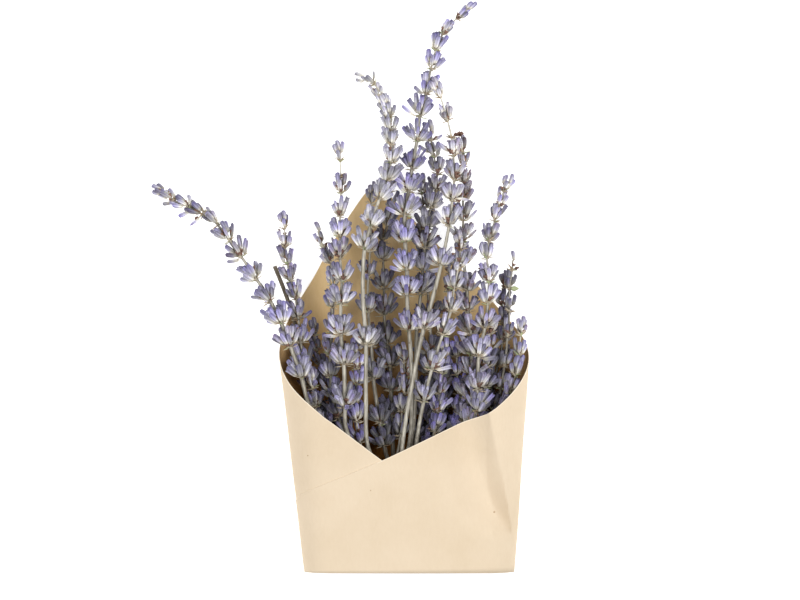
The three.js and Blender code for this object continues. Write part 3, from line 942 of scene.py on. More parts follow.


# Each stem's shade is partly its own tone and partly painted shade: the back layer's stems are painted
# darker.
ROUTES: tuple[Route, ...] = (
    Route(
        "stem_front_cross", (0.5, 3), 8, vigour=1.1, lone=10, bald=(2,), lower=0.0, violet=0.11, shade=0.6,
        aged=0.3,
        line=(
            (436, 88, 36), (440, 98, 36), (447, 121, 36), (451, 138, 36), (453, 156, 35), (454, 179, 34.5),
            (452, 200, 34), (449, 225, 34), (441, 264, 33.5), (433, 296, 33), (424, 327, 32),
            (413, 378, 30), (402, 450, 27),
        ),
    ),
    Route(
        "stem_curled", (-0.5, 3), 11, vigour=0.95, lone=13, ripening=7, lower=0.0, violet=-0.2, shade=0.6,
        aged=0.06,
        line=(
            (363, 79, 30), (374, 84, 30), (380, 98, 30), (386, 108, 30), (389, 117, 30), (391, 130, 30),
            (391, 145, 30), (391, 162, 30), (387, 180, 30), (380, 198, 30), (371, 225, 30), (365, 248, 30),
            (363, 290, 30), (366, 343, 29), (366, 400, 28), (369, 450, 25.5),
        ),
    ),
    Route(
        "stem_left_tall", (-1.5, 3), 11, vigour=1.22, ripening=6.5, bald=(1,), lower=0.0, violet=0.25,
        shade=0.58, aged=0.36,
        line=(
            (338, 150, 26), (340, 160, 26), (341, 176, 26), (341, 192, 26), (340, 215, 26), (340, 236, 26),
            (340, 257, 26), (342, 280, 25.5), (341, 302, 25), (341, 333, 24.5), (344, 363, 24),
            (345, 405, 23.5), (347, 432, 22),
        ),
    ),
    Route(
        "stem_far_left", (-2.5, 3), 12, vigour=1.12, ripening=6.5, lower=0.0, violet=0.3, shade=0.5,
        aged=0.14,
        line=(
            (160, 191, 24), (166, 194, 24), (174, 200, 24), (189, 207, 25), (202, 214, 25), (217, 224, 25),
            (229, 239, 25), (241, 256, 25), (256, 278, 25), (270, 300, 24), (281, 322, 24), (290, 345, 23),
            (301, 376, 22), (308, 403, 21), (326, 445, 18),
        ),
    ),
    Route(
        "stem_front_right", (1.5, 3), 7, lower=0.0, violet=0.09, shade=0.57, aged=0.35,
        line=(
            (459, 240, 28), (460, 250, 28), (458, 268, 28), (454, 288, 28), (451, 310, 28),
            (443, 333, 27.5), (432, 368, 27), (424, 400, 25.5), (417, 438, 23),
        ),
    ),
    Route(
        "stem_right_arch", (2.5, 3), 10, ripening=6.5, violet=0.37, shade=0.55, aged=0.25,
        line=(
            (508, 182, 22), (504, 190, 22), (499, 205, 22), (495, 220, 22), (489, 240, 22), (487, 257, 23),
            (489, 281, 23), (488, 302, 23), (485, 326, 23), (479, 355, 24), (477, 388, 24), (476, 415, 22),
        ),
    ),
    Route(
        "stem_tallest", (0, 2), 14, vigour=1.15, lower=0.0, violet=0.46, shade=0.58, aged=0.05,
        line=(
            (469, 9, 30), (457, 19, 29), (443, 34, 28), (436, 50, 28), (431, 69, 27), (426, 93, 27),
            (420, 115, 26), (417, 140, 26), (412, 168, 25), (409, 190, 24), (405, 213, 24), (405, 240, 23),
            (407, 268, 22), (407, 294, 22), (409, 329, 21), (411, 360, 20), (412, 400, 18.5),
            (410, 440, 16.5),
        ),
    ),
    Route(
        "stem_right_column", (2.5, 1), 10, vigour=1.05, violet=0.19, shade=0.48, aged=0.9,
        line=(
            (459, 137, 25), (462, 152, 25), (464, 166, 25), (464, 184, 24), (463, 199, 24), (463, 219, 23),
            (463, 240, 22), (464, 262, 21), (467, 289, 20), (468, 310, 19), (471, 333, 18.5),
            (471, 370, 17), (464, 420, 14),
        ),
    ),
    Route(
        "stem_middle_lean", (0.5, 1), 10, vigour=1.1, lower=0.0, violet=0.22, shade=0.45, aged=0.4,
        line=(
            (430, 129, 20), (431, 139, 20), (434, 156, 19), (437, 173, 19), (436, 190, 18), (431, 207, 18),
            (427, 227, 17), (425, 247, 17), (423, 269, 16), (421, 292, 15), (417, 328, 14), (416, 370, 13),
            (414, 420, 11),
        ),
    ),
    Route(
        "stem_left_upright", (-3.5, 1), 7, vigour=0.92, ripening=6, violet=0.43, shade=0.5, aged=0.35,
        line=(
            (283, 219, 15), (284, 228, 15), (285, 246, 15), (287, 263, 15), (290, 280, 14.5),
            (295, 298, 13.5), (298, 318, 13.5), (300, 341, 13.5), (305, 370, 13), (318, 412, 12.5),
        ),
    ),
    Route(
        "stem_left_side", (-2.5, 1), 3, buds=1, vigour=0.8, violet=0.31, shade=0.45, aged=0.36,
        line=(
            (317.5, 231, 17), (323, 247, 17), (330, 262, 17), (333, 284, 16), (331, 330, 15),
            (330, 370, 13.5), (336, 412, 12),
        ),
    ),
    Route(
        "stem_right_slim", (3.5, 1), 5, buds=1, vigour=0.4, ripening=9, bald=(0,), leaf=(519.5, 288.5, 17),
        violet=0.31, shade=0.45, aged=0.1,
        line=(
            (512.5, 260, 15), (513, 269, 15), (510, 288, 15), (510, 311, 15), (508, 336, 14.5),
            (505, 366, 13.5), (494, 412, 12),
        ),
    ),
    Route(
        "stem_right_rim", (3, 2), 4, violet=0.43, shade=0.5, aged=0.3,
        line=(
            (522, 325, 20), (521, 334, 20), (519, 355, 19.5), (516, 374, 19), (510, 393, 18),
            (494, 420, 16),
        ),
    ),
    Route(
        "stem_low_right", (1, 2), 5, violet=0.75, shade=0.5, aged=0.25,
        line=(
            (445, 347, 19.5), (444, 357, 19), (442, 373, 19), (440, 393, 18), (437, 411, 17),
            (435, 431, 15.5),
        ),
    ),
    Route(
        "stem_low_middle", (-1, 2), 4, violet=0.31, shade=0.45, aged=0.3,
        line=(
            (403, 352, 14.5), (404, 362, 14.5), (405, 376, 14.5), (405, 393, 14), (402, 412, 13.5),
            (400, 440, 13),
        ),
    ),
    Route(
        "stem_low_left", (-2, 2), 3, lower=0.0, violet=0.19, shade=0.6, aged=0.3,
        line=(
            (311, 378, 16.5), (312, 388, 16), (315, 406, 15.5), (320, 425, 14),
        ),
    ),
    Route(
        "stem_low_right_side", (2, 2), 4, violet=0.37, shade=0.45, aged=0.35,
        line=(
            (491, 325, 15.5), (491, 334, 15.5), (490, 349, 15.5), (488, 367, 15.5), (485, 387, 15.5),
            (478, 410, 16), (450, 455, 15),
        ),
    ),
    Route(
        "stem_low_left_middle", (-1.5, 1), 5, violet=0.95, shade=0.72, aged=0.15,
        line=(
            (356, 344, 14), (356, 354, 14), (357, 368, 14), (357, 385, 13.5), (354, 403, 13),
            (356, 421, 12.5), (361, 448, 11.5),
        ),
    ),
    Route(
        "stem_back_left", (-0.5, 1), 7, vigour=1.15, lower=49.0, violet=0.25, shade=0.28, aged=0.4,
        line=(
            (372, 190, 13), (371, 203, 13), (371, 225, 13), (370, 250, 13), (368, 277, 13),
            (368, 311, 12.5), (371, 345, 12), (373, 378, 11.5), (378, 412, 11), (386, 455, 10),
        ),
    ),
    Route(
        "stem_low_right_middle", (1.5, 1), 4, violet=1.1, shade=0.8, aged=0.1,
        line=(
            (456, 346, 13), (457, 356, 13), (457, 374, 13), (460, 394, 12), (458, 412, 11),
            (453, 432, 9.5),
        ),
    ),
    Route(
        "stem_cut_stub", (-3, 0), 0, lower=0.0, violet=0.0, shade=0.6, aged=1.0,
        line=(
            (274, 266, 12), (285, 294, 10.5), (294, 322, 9.5), (304, 362, 9), (314, 400, 8),
            (329, 442, 6.5),
        ),
    ),
    Route(
        "stem_back_middle", (-1, 0), 11, vigour=1.15, violet=0.25, shade=0.3, aged=0.45,
        line=(
            (391, 180, 9.5), (391, 190, 9.5), (390, 207, 9.5), (387, 224, 9), (383, 240, 8.5),
            (383, 258, 8.5), (384, 287, 8), (384, 313, 8), (387, 343, 8), (390, 366, 8), (391, 390, 7.5),
            (391, 415, 7), (393, 460, 6),
        ),
    ),
    Route(
        "stem_back_tall", (0, 0), 7, vigour=1.2, violet=0.25, shade=0.3, aged=0.4,
        line=(
            (422, 182, 12), (422, 192, 12), (423, 210, 11), (424, 236, 10), (426, 262, 9.5), (428, 290, 9),
            (430, 320, 8.5), (431, 352, 8), (428, 400, 7),
        ),
    ),
    Route(
        "stem_back_right", (1, 0), 6, vigour=1.2, violet=0.31, shade=0.3, aged=0.4,
        line=(
            (450, 264, 10.5), (450, 273, 10.5), (449, 291, 10), (447, 313, 9), (446, 336, 8.5),
            (445, 360, 8.3), (443, 385, 8), (440, 412, 7),
        ),
    ),
    Route(
        "stem_low_back_left", (-2, 0), 5, violet=0.31, shade=0.35, aged=0.35,
        line=(
            (313, 326, 8.5), (314, 335, 8.5), (316, 350, 8.5), (322, 367, 8), (327, 388, 7.5),
            (331, 416, 7), (341, 446, 6),
        ),
    ),
    Route(
        "stem_right_back", (3, 0), 5, vigour=1.2, violet=0.25, shade=0.3, aged=0.5,
        line=(
            (505, 279, 9), (505, 288, 9), (503, 305, 8.5), (504, 323, 8.5), (503, 342, 8.5), (499, 364, 8),
            (487, 402, 7),
        ),
    ),
    Route(
        "stem_low_back_right", (2, 0), 4, vigour=1.2, violet=0.37, shade=0.3, aged=0.35,
        line=(
            (478, 330, 8), (477, 340, 8), (476, 358, 7.5), (473, 379, 7), (469, 399, 6.5), (463, 422, 6),
        ),
    ),
)


@dataclass
class Bundle:
    """Where the stems run side by side through the band that ties them."""

    pitch: float = 2.8
    middle: float = 7.9
    middle_layer: float = 1.5
    straight: float = 5.0
    fan_height: float = 17.0
    fan_spread: float = 1.4
    cut_end: float = -16.0
    cut_spread: float = 2.0
    splay: float = 1.15

    def place(self, slot: Span, y: float, spread: float = 1.0) -> Vector:
        """Finds a stem's place in the bundle.

        Args:
            slot: the stem's column and layer.
            y: the height.
            spread: how far the stems stand apart there, where 1 is side by side.

        Returns:
            The place.
        """
        layer_step = self.pitch * math.sqrt(3) / 2
        over = (slot[1] - self.middle_layer) * layer_step * spread
        return Vector((slot[0] * self.pitch * spread, y, self.middle + over))


@dataclass
class Growth:
    """A point of a spike with something growing on it."""

    root: Vector
    axis: Vector
    outward: Vector
    length: float
    width: float
    bloom: Bloom
    tint: float
    violet: float
    aged: float

    def turned(self) -> Point:
        """Returns the Euler angles that lay +Z along the axis and +X outward."""
        across = (self.outward - self.axis * self.outward.dot(self.axis)).normalized()
        return tuple(Matrix((across, self.axis.cross(across), self.axis)).transposed().to_euler("XYZ"))


@dataclass(frozen=True)
class Scrap:
    """A kind of small dry growth: its least and most length and width, and how often it grows.

    odds are its share of the places on a fresh ring, and what full age adds to that.
    """

    bloom: Bloom
    lengths: Span
    widths: Span
    odds: Span = (1.0, 0.0)

    def falls(self, aged: float, chance: random.Random) -> bool:
        """Draws whether one grows at a place."""
        return chance.random() < self.odds[0] + self.odds[1] * aged

    def grow(
        self, place: tuple[Vector, Vector, Vector], own: Span, chance: random.Random, size: float = 1.0
    ) -> Growth:
        """Draws one.

        Args:
            place: its root, its axis and the way out of the stem.
            own: how violet and how aged it is.
            chance: the stem's own random numbers.
            size: what its drawn length and width are multiplied by.

        Returns:
            The growth.
        """
        length, width = (size * chance.uniform(*ends) for ends in (self.lengths, self.widths))
        return Growth(*place, length, width, self.bloom, chance.random(), *own)


@dataclass(frozen=True)
class Ring:
    """One ring of flowers on its stem.

    direction leads to the stem's tip, half is half the stem's side there, order counts from the tip
    and share is how full the ring is.
    """

    seat: Vector
    direction: Vector
    half: float
    order: int
    share: float
    count: int
    aged: float

    def outward(self, azimuth: float) -> Vector:
        """Returns the way out of the stem at an azimuth."""
        return out_of(self.direction, azimuth)


def on_layout(column: float, row: float, height: float) -> Vector:
    """Returns a place of the layout grid, and its height, in millimetres of the part."""
    return Vector(((column - GRID_X) * GRID_STEP, (GRID_Y - row) * GRID_STEP, height))


def out_of(direction: Vector, azimuth: float) -> Vector:
    """Finds the way out of a stem.

    Args:
        direction: the stem's direction to its tip.
        azimuth: how far round the stem it is, where a quarter turn is the upper side.

    Returns:
        The unit vector out of the stem.
    """
    side = direction.cross(Vector((0, 0, 1))).normalized()
    over = side.cross(direction)
    return side * math.cos(azimuth) + over * math.sin(azimuth)


def leaning(direction: Vector, outward: Vector, degrees: float) -> Vector:
    """Returns the stem's direction, leaned outward by an angle."""
    lean = math.radians(degrees)
    return direction * math.cos(lean) + outward * math.sin(lean)


def nearest(path: Sequence[Vector], target: Vector) -> int:
    """Returns the number of the path's point nearest to a target."""
    return min(range(len(path)), key=lambda k: (path[k] - target).length)


def curve_through(points: Sequence[Vector], step: float, least: float = 1e-4) -> list[Vector]:
    """Lays a smooth centripetal curve through points.

    Args:
        points: the points that it passes through.
        step: about how far apart its own points are.
        least: the least root of a distance that is reckoned with, so that points may coincide.

    Returns:
        The curve's points.
    """
    ends = [points[0] * 2 - points[1], *points, points[-1] * 2 - points[-2]]
    result = []
    for a, b, c, d in zip(ends, ends[1:], ends[2:], ends[3:]):
        first, second, third = (max(least, (q - p).length ** 0.5) for p, q in ((a, b), (b, c), (c, d)))
        start = ((b - a) / first - (c - a) / (first + second) + (c - b) / second) * second
        finish = ((c - b) / second - (d - b) / (second + third) + (d - c) / third) * second
        square, cube = c * 3 - b * 3 - start * 2 - finish, b * 2 - c * 2 + start + finish
        count = max(1, round((c - b).length / step))
        for t in (k / count for k in range(count)):
            result.append(b + start * t + square * t**2 + cube * t**3)
    return [*result, points[-1].copy()]


@dataclass
class SpikeBuilder:
    """Grows each stem with its rings of calyces, bracts and shrivelled petals.

    Where a pair of counts, tilts, lengths or widths runs with the rings, it holds the value at the
    tip and that of a full ring. Every second calyx of a ring stands in its inner row, and the pairs
    of row_tilts and row_seats hold the outer row's value and the inner one's. Angles are in degrees
    but for the azimuths, which are in radians, or in half turns for clump_side. A spread is drawn to
    either side of nothing.
    """

    wrap: PaperWrap
    bundle: Bundle
    step: float = 2.4
    thin: float = 0.3
    thick: float = 1.0
    taper: float = 95.0
    stub_half: float = 0.95
    pale_length: float = 90.0
    tip_pale: float = 1.55
    fullest: float = 1.15
    counts: Span = (3.5, 14.4)
    count_changes: tuple[int, ...] = (-1, 0, 0, 1)
    age_spread: float = 0.35
    ring_offset: float = 0.25
    azimuth_spread: float = 0.38
    gappy_from: float = 0.5
    missing: float = 0.14
    facing: float = 0.7
    side_tilt: Span = (17.0, 40.0)
    front_tilt: Span = (16.0, 29.0)
    side_power: float = 1.2
    row_tilts: Span = (1.06, 0.72)
    tilt_spread: float = 8.0
    stray: float = 0.06
    stray_tilt: Span = (18.0, 42.0)
    reach: Span = (6.3, 8.0)
    reach_drawn: Span = (0.78, 1.08)
    calyx_width: Span = (0.97, 1.05)
    width_drawn: Span = (0.8, 1.12)
    row_seats: Span = (-0.4, 1.2)
    seat_spread: float = 0.7
    straighter: tuple[float, ...] = (0.0, 8.0, 16.0, 26.0, 38.0)
    least_tilt: float = 4.0
    tried_parts: tuple[float, ...] = (0.45, 0.7, 1.0)
    withered_odds: Span = (0.08, 0.25)
    open_odds: Span = (0.3, 0.2)
    tint_spread: float = 0.4
    violet_spread: float = 0.3
    own_age: Span = (0.0, 1.3)
    # Painted shade darkens calyces deep in the bunch and low in the mouth, by the shares in shadows.
    hidden_depth: float = 20.0
    hidden_rows: Span = (20.0, 95.0)
    shadows: Span = (0.26, 0.2)
    corolla: Scrap = Scrap(Bloom.PETAL, (1.2, 2.2), (0.6, 0.9), (0.04, 0.2))
    corolla_seat: float = 0.9
    shred: Scrap = Scrap(Bloom.PETAL, (1.7, 3.0), (0.9, 1.4), (0.16, 0.5))
    shred_seat: Span = (0.1, 0.35)
    shred_out: float = 0.6
    bract: Scrap = Scrap(Bloom.BRACT, (1.8, 3.7), (0.32, 0.85))
    bracts: int = 9
    bract_spread: float = 0.5
    bract_lean: Span = (4.0, 62.0)
    bract_out: float = 0.7
    bract_drop: Span = (0.4, 1.2)
    clump: Scrap = Scrap(Bloom.PETAL, (2.0, 3.2), (1.0, 1.6), (0.2, 0.6))
    clump_sizes: Span = (0.65, 1.1)
    clump_counts: tuple[int, ...] = (1, 2, 3)
    clump_side: Span = (0.15, 0.85)
    clump_lean: Span = (20.0, 60.0)
    clump_out: Span = (0.8, 2.0)
    clump_rise: Span = (-0.4, 1.4)
    wilted: float = 0.8
    tip_lengths: Span = (5.8, 4.6)
    tip_leans: Span = (0.0, 20.0)
    tip_turn: float = 2.1
    tip_drop: float = 1.6
    wilted_leans: Span = (72.0, 42.0)
    head_petals: int = 9
    head_leans: Point = (58.0, 70.0, 82.0)
    head_rises: Span = (0.5, 0.8)
    head_tints: tuple[float, ...] = (0.1, 0.22, 0.34, 0.46)
    head_petal: Span = (2.3, 1.3)
    leaf_size: Span = (3.6, 1.2)
    lower_gap: float = 9.3
    lower_end: float = 31.0

    def path(self, route: Route, chance: random.Random) -> tuple[list[Vector], list[Vector]]:
        """Lays a stem's path.

        Args:
            route: the stem.
            chance: the stem's own random numbers.

        Returns:
            The smooth path and its listed points, both from the tip down.
        """
        listed = [on_layout(*place) for place in route.line]
        b = self.bundle
        cut = b.cut_end + chance.uniform(-1, 1) * b.cut_spread
        tied = ((b.fan_height, b.fan_spread), (b.straight, 1.0), (-b.straight, 1.0), (cut, b.splay))
        return curve_through([*listed, *(b.place(route.slot, *place) for place in tied)], self.step), listed

    def half_side(self, distance: float) -> float:
        """Returns half the stem's side at a distance from its tip."""
        return lerp(self.thin, self.thick, min(1.0, distance / self.taper))

    def painted_depth_shade(self, seat: Vector) -> float:
        """Returns how much painted shade darkens a place deep in the bunch and low in its mouth."""
        painted_deep_shade = self.shadows[0] * (1 - smooth(0.0, self.hidden_depth, seat.z))
        return painted_deep_shade + self.shadows[1] * (1 - smooth(*self.hidden_rows, seat.y))

    def ring(
        self, route: Route, path: Sequence[Vector], target: Vector, order: int, chance: random.Random
    ) -> Ring:
        """Draws one ring.

        Args:
            route: the stem.
            path: its path.
            target: about where the ring is.
            order: the ring's number from the tip.
            chance: the stem's own random numbers.

        Returns:
            The ring, seated on the path.
        """
        near = nearest(path, target)
        before, after = path[max(0, near - 1)], path[min(len(path) - 1, near + 1)]
        share = min(self.fullest, order / route.ripening) * route.vigour
        count = round(lerp(*self.counts, share)) + chance.choice(self.count_changes)
        aged = clamp(route.aged + chance.uniform(-self.age_spread, self.age_spread))
        half = self.half_side(near * self.step)
        count = 0 if order in route.bald else count
        return Ring(path[near], (before - after).normalized(), half, order, share, count, aged)

    def calyx_axis(
        self, ring: Ring, outward: Vector, tilt: float, root: Vector, size: Span
    ) -> Optional[Vector]:
        """Leans a calyx, straighter where it would touch the sheet.

        Args:
            ring: its ring.
            outward: the way out of the stem.
            tilt: how far it leans where nothing is in its way.
            root: where it grows.
            size: its length and width.

        Returns:
            Its axis, or nothing where it has no room.
        """
        length, width = size
        for less in self.straighter:
            axis = leaning(ring.direction, outward, max(self.least_tilt, tilt - less))
            if all(self.wrap.clears(root + axis * length * part, width) for part in self.tried_parts):
                return axis
        return None

    def calyx_bloom(self, aged: float, chance: random.Random) -> Bloom:
        """Draws how a calyx is.

        Args:
            aged: how aged its ring is.
            chance: the stem's own random numbers.

        Returns:
            Withered, open or closed.
        """
        mood = chance.random()
        for bloom, (fresh, added) in ((Bloom.WITHERED, self.withered_odds), (Bloom.OPEN, self.open_odds)):
            if mood < fresh + added * aged:
                return bloom
        return Bloom.CLOSED

    def calyx(self, route: Route, ring: Ring, number: int, chance: random.Random) -> list[Growth]:
        """Draws one calyx of a ring and the dry petals in it or at its side.

        Args:
            route: the stem.
            ring: the ring.
            number: the calyx's number in the ring.
            chance: the stem's own random numbers.

        Returns:
            What grows there, which is nothing where the calyx is missing or has no room.
        """
        row = number % 2
        azimuth = math.pi * (0.5 + 2 * (number + self.ring_offset * (ring.order % 2)) / ring.count)
        azimuth += chance.uniform(-self.azimuth_spread, self.azimuth_spread)
        hidden = ring.share > self.gappy_from and math.sin(azimuth) < self.facing
        if hidden and chance.random() < self.missing:
            return []
        outward = ring.outward(azimuth)
        front, side = lerp(*self.front_tilt, ring.share), lerp(*self.side_tilt, ring.share)
        tilt = lerp(front, side, abs(math.cos(azimuth)) ** self.side_power) * self.row_tilts[row]
        tilt += chance.uniform(-self.tilt_spread, self.tilt_spread)
        if chance.random() < self.stray:
            tilt += chance.uniform(*self.stray_tilt)
        length = lerp(*self.reach, ring.share) * chance.uniform(*self.reach_drawn)
        width = lerp(*self.calyx_width, ring.share) * chance.uniform(*self.width_drawn)
        root = ring.seat + ring.direction * self.row_seats[row]
        root = root + ring.direction * chance.uniform(-self.seat_spread, self.seat_spread)
        axis = self.calyx_axis(ring, outward, tilt, root, (length, width))
        if axis is None:
            return []
        bloom = self.calyx_bloom(ring.aged, chance)
        # A calyx's value holds its stem's shade, a random spread of tone, and painted shade deep in the bunch
        # and low in the mouth.
        tint = route.shade + chance.uniform(-self.tint_spread, self.tint_spread) - self.painted_depth_shade(ring.seat)
        violet = clamp(route.violet + chance.uniform(-self.violet_spread, self.violet_spread))
        aged = clamp(ring.aged * chance.uniform(*self.own_age))
        grown = [Growth(root, axis, outward, length, width, bloom, clamp(tint), violet, aged)]
        own = (violet, ring.aged)
        if bloom is Bloom.OPEN and self.corolla.falls(ring.aged, chance):
            place = root + axis * length * self.corolla_seat
            grown.append(self.corolla.grow((place, axis, outward), own, chance))
        elif self.shred.falls(ring.aged, chance):
            place = root + axis * length * chance.uniform(*self.shred_seat) + outward * width * self.shred_out
            grown.append(self.shred.grow((place, axis, outward), own, chance))
        return grown

    def ring_bracts(self, route: Route, ring: Ring, chance: random.Random) -> list[Growth]:
        """Draws the thin bracts at the foot of a ring.

        Args:
            route: the stem.
            ring: the ring.
            chance: the stem's own random numbers.

        Returns:
            The bracts.
        """
        grown, side = [], lerp(*self.side_tilt, ring.share)
        for k in range(self.bracts):
            azimuth = 2 * math.pi * (k + 0.5 * ring.order) / self.bracts
            outward = ring.outward(azimuth + chance.uniform(-self.bract_spread, self.bract_spread))
            axis = leaning(ring.direction, outward, side + chance.uniform(*self.bract_lean))
            root = ring.seat + outward * ring.half * self.bract_out
            root = root - ring.direction * chance.uniform(*self.bract_drop)
            grown.append(self.bract.grow((root, axis, outward), (route.violet, ring.aged), chance))
        return grown

    def ring_clump(self, route: Route, ring: Ring, chance: random.Random) -> list[Growth]:
        """Draws the clump of dry petals that some rings carry on their upper side.

        Args:
            route: the stem.
            ring: the ring.
            chance: the stem's own random numbers.

        Returns:
            The petals of the clump, if there is one.
        """
        if not self.clump.falls(ring.aged, chance):
            return []
        grown, size = [], lerp(*self.clump_sizes, min(1.0, ring.share))
        for _ in range(chance.choice(self.clump_counts)):
            outward = ring.outward(math.pi * chance.uniform(*self.clump_side))
            axis = leaning(ring.direction, outward, chance.uniform(*self.clump_lean))
            root = ring.seat + outward * chance.uniform(*self.clump_out)
            root = root + ring.direction * chance.uniform(*self.clump_rise)
            grown.append(self.clump.grow((root, axis, outward), (route.violet, ring.aged), chance, size))
        return grown

    def head(self, route: Route, path: Sequence[Vector], chance: random.Random) -> list[Growth]:
        """Draws what closes a stem's tip: one or two calyces, and petals round a withered head.

        Args:
            route: the stem.
            path: its path.
            chance: the stem's own random numbers.

        Returns:
            What grows at the tip.
        """
        top, wilted = (path[0] - path[2]).normalized(), route.aged > self.wilted
        grown, width, shade = [], self.calyx_width[0], clamp(route.shade)
        bloom = Bloom.WITHERED if wilted else Bloom.CLOSED
        root, own = path[0] - top * self.tip_drop, (route.violet, route.aged)
        for k, length in enumerate(self.tip_lengths[: route.buds]):
            turn, lean = self.tip_turn * k + chance.uniform(0, 1), self.tip_leans[k]
            if wilted:
                turn, lean = math.pi, self.wilted_leans[k]
            outward = out_of(top, turn)
            axis = leaning(top, outward, lean)
            grown.append(Growth(root, axis, outward, length, width, bloom, shade, *own))
        for k in range(self.head_petals if wilted else 0):
            outward = out_of(top, 2 * math.pi * k / self.head_petals)
            kinds = (self.head_leans, self.head_rises, self.head_tints)
            lean, rise, tint = (kind[k % len(kind)] for kind in kinds)
            place = (path[0] + top * rise, leaning(top, outward, lean), outward)
            grown.append(Growth(*place, *self.head_petal, Bloom.PETAL, tint, *own))
        return grown

    def green_leaf(self, tip: Vector) -> Growth:
        """Makes the one small green leaf, which points to the right and lies flat.

        Args:
            tip: where it ends.

        Returns:
            The leaf.
        """
        right, over = Vector((1.0, 0.0, 0.0)), Vector((0.0, 0.0, 1.0))
        root = tip - right * self.leaf_size[0]
        return Growth(root, right, over, *self.leaf_size, Bloom.BRACT, 1.0, 0.0, 0.0)

    def growths(
        self, route: Route, path: Sequence[Vector], listed: Sequence[Vector], chance: random.Random
    ) -> list[Growth]:
        """Draws everything that grows on a stem.

        Args:
            route: the stem.
            path: its path.
            listed: the path's listed points.
            chance: the stem's own random numbers.

        Returns:
            The growths.
        """
        if not route.whorls:
            return []
        result = self.head(route, path, chance)
        if route.leaf:
            result.append(self.green_leaf(on_layout(*route.leaf)))
        places = [*enumerate(listed[1 : route.whorls + 1])]
        if route.lone:
            places.append((route.whorls, listed[route.lone]))
        if route.lower:
            pace = max(1, round(self.lower_gap / self.step))
            below = path[nearest(path, places[-1][1]) + pace :: pace]
            spots = [point for point in below if self.lower_end < point.y < route.lower]
            places.extend(enumerate(spots, route.whorls))
        for order, target in places:
            ring = self.ring(route, path, target, order, chance)
            grown = [growth for k in range(ring.count) for growth in self.calyx(route, ring, k, chance)]
            grown += self.ring_bracts(route, ring, chance) + self.ring_clump(route, ring, chance)
            result.extend(g for g in grown if self.wrap.clears(g.root + g.axis * g.length, g.width))
        return result

    def cloud(self, route: Route, path: Sequence[Vector], growths: Sequence[Growth]) -> Object:
        """Writes a stem's path and growing points as one mesh for the spike's tree.

        Args:
            route: the stem.
            path: its path.
            growths: everything that grows on it.

        Returns:
            The object that holds them.
        """
        vertices = [tuple(place * MM) for place in [*path, *(g.root for g in growths)]]
        mesh = bpy.data.meshes.new(route.name)
        mesh.from_pydata(vertices, [(k, k + 1) for k in range(len(path) - 1)], [])
        halves, tones_and_shades, distance = [], [], 0.0
        for k, point in enumerate(path):
            distance += (point - path[k - 1]).length if k else 0.0
            halves.append((self.half_side(distance) if route.whorls else self.stub_half) * MM)
            # A stem's value is its shade, partly painted shade, made paler toward its tip.
            tones_and_shades.append(clamp(route.shade * lerp(self.tip_pale, 1.0, min(1.0, distance / self.pale_length))))
        plain, sizes = len(path), ((g.width, g.width, g.length) for g in growths)
        for name, kind, on_path, on_growths in (
            ("half_side", "FLOAT", halves, [0.0] * len(growths)),
            ("kind", "INT", [0] * plain, (g.bloom.value for g in growths)),
            ("tint", "FLOAT", tones_and_shades, (g.tint for g in growths)),
            ("violet", "FLOAT", [route.violet] * plain, (g.violet for g in growths)),
            ("aged", "FLOAT", [route.aged] * plain, (g.aged for g in growths)),
            ("turned", "FLOAT_VECTOR", [0.0] * 3 * plain, (angle for g in growths for angle in g.turned())),
            ("size", "FLOAT_VECTOR", [1.0] * 3 * plain, (length * MM for size in sizes for length in size)),
        ):
            write(mesh, name, kind, [*on_path, *on_growths])
        return show(route.name + "_points", mesh)


@dataclass(frozen=True)
class Spindle:
    """A calyx's shape, by the height and radius of each ring from the root up.

    Its stalk leads stalk_out outward and its tip leans bend beyond that. mouth is the depth of the
    open mouth, or 0 for a closed tip, and teeth is how far the ribs stand up round the mouth.
    """

    name: str
    rings: tuple[Span, ...]
    stalk_out: float
    bend: float = 0.0
    mouth: float = 0.0
    teeth: float = 0.0


@dataclass(frozen=True)
class Scale:
    """A bract's or petal's shape, by the height and half width of each row and how far it is cupped."""

    name: str
    rows: tuple[Span, ...]
    cup: float
    thickness: float


CALYX_FOOT = ((0.0, 0.18), (0.13, 0.18), (0.22, 0.25), (0.28, 0.58), (0.37, 0.84))
CLOSED_CUP = ((0.55, 0.96), (0.75, 1.0), (0.9, 0.93), (0.97, 0.64))
OPEN_CUP = ((0.58, 0.95), (0.86, 1.0), (0.95, 0.98))
WITHERED_FOOT = ((0.0, 0.2), (0.12, 0.2), (0.23, 0.24))
WITHERED_CUP = ((0.34, 0.52), (0.56, 0.76), (0.82, 0.62), (0.95, 0.36))
BRACT_ROWS = ((0.0, 0.35), (0.2, 0.8), (0.45, 1.0), (0.75, 0.6), (1.0, 0.06))
PETAL_ROWS = ((0.0, 0.45), (0.3, 0.6), (0.55, 1.0), (0.8, 0.85), (1.0, 0.3))
SHAPES = {
    Bloom.CLOSED: Spindle("calyx_closed", CALYX_FOOT + CLOSED_CUP, 0.95, -0.6),
    Bloom.OPEN: Spindle("calyx_open", CALYX_FOOT + OPEN_CUP, 0.95, -0.5, mouth=0.14, teeth=0.05),
    Bloom.WITHERED: Spindle("calyx_withered", WITHERED_FOOT + WITHERED_CUP, 0.9),
    Bloom.BRACT: Scale("bract", BRACT_ROWS, 0.5, 0.14),
    Bloom.PETAL: Scale("dry_petal", PETAL_ROWS, 0.9, 0.22),
}


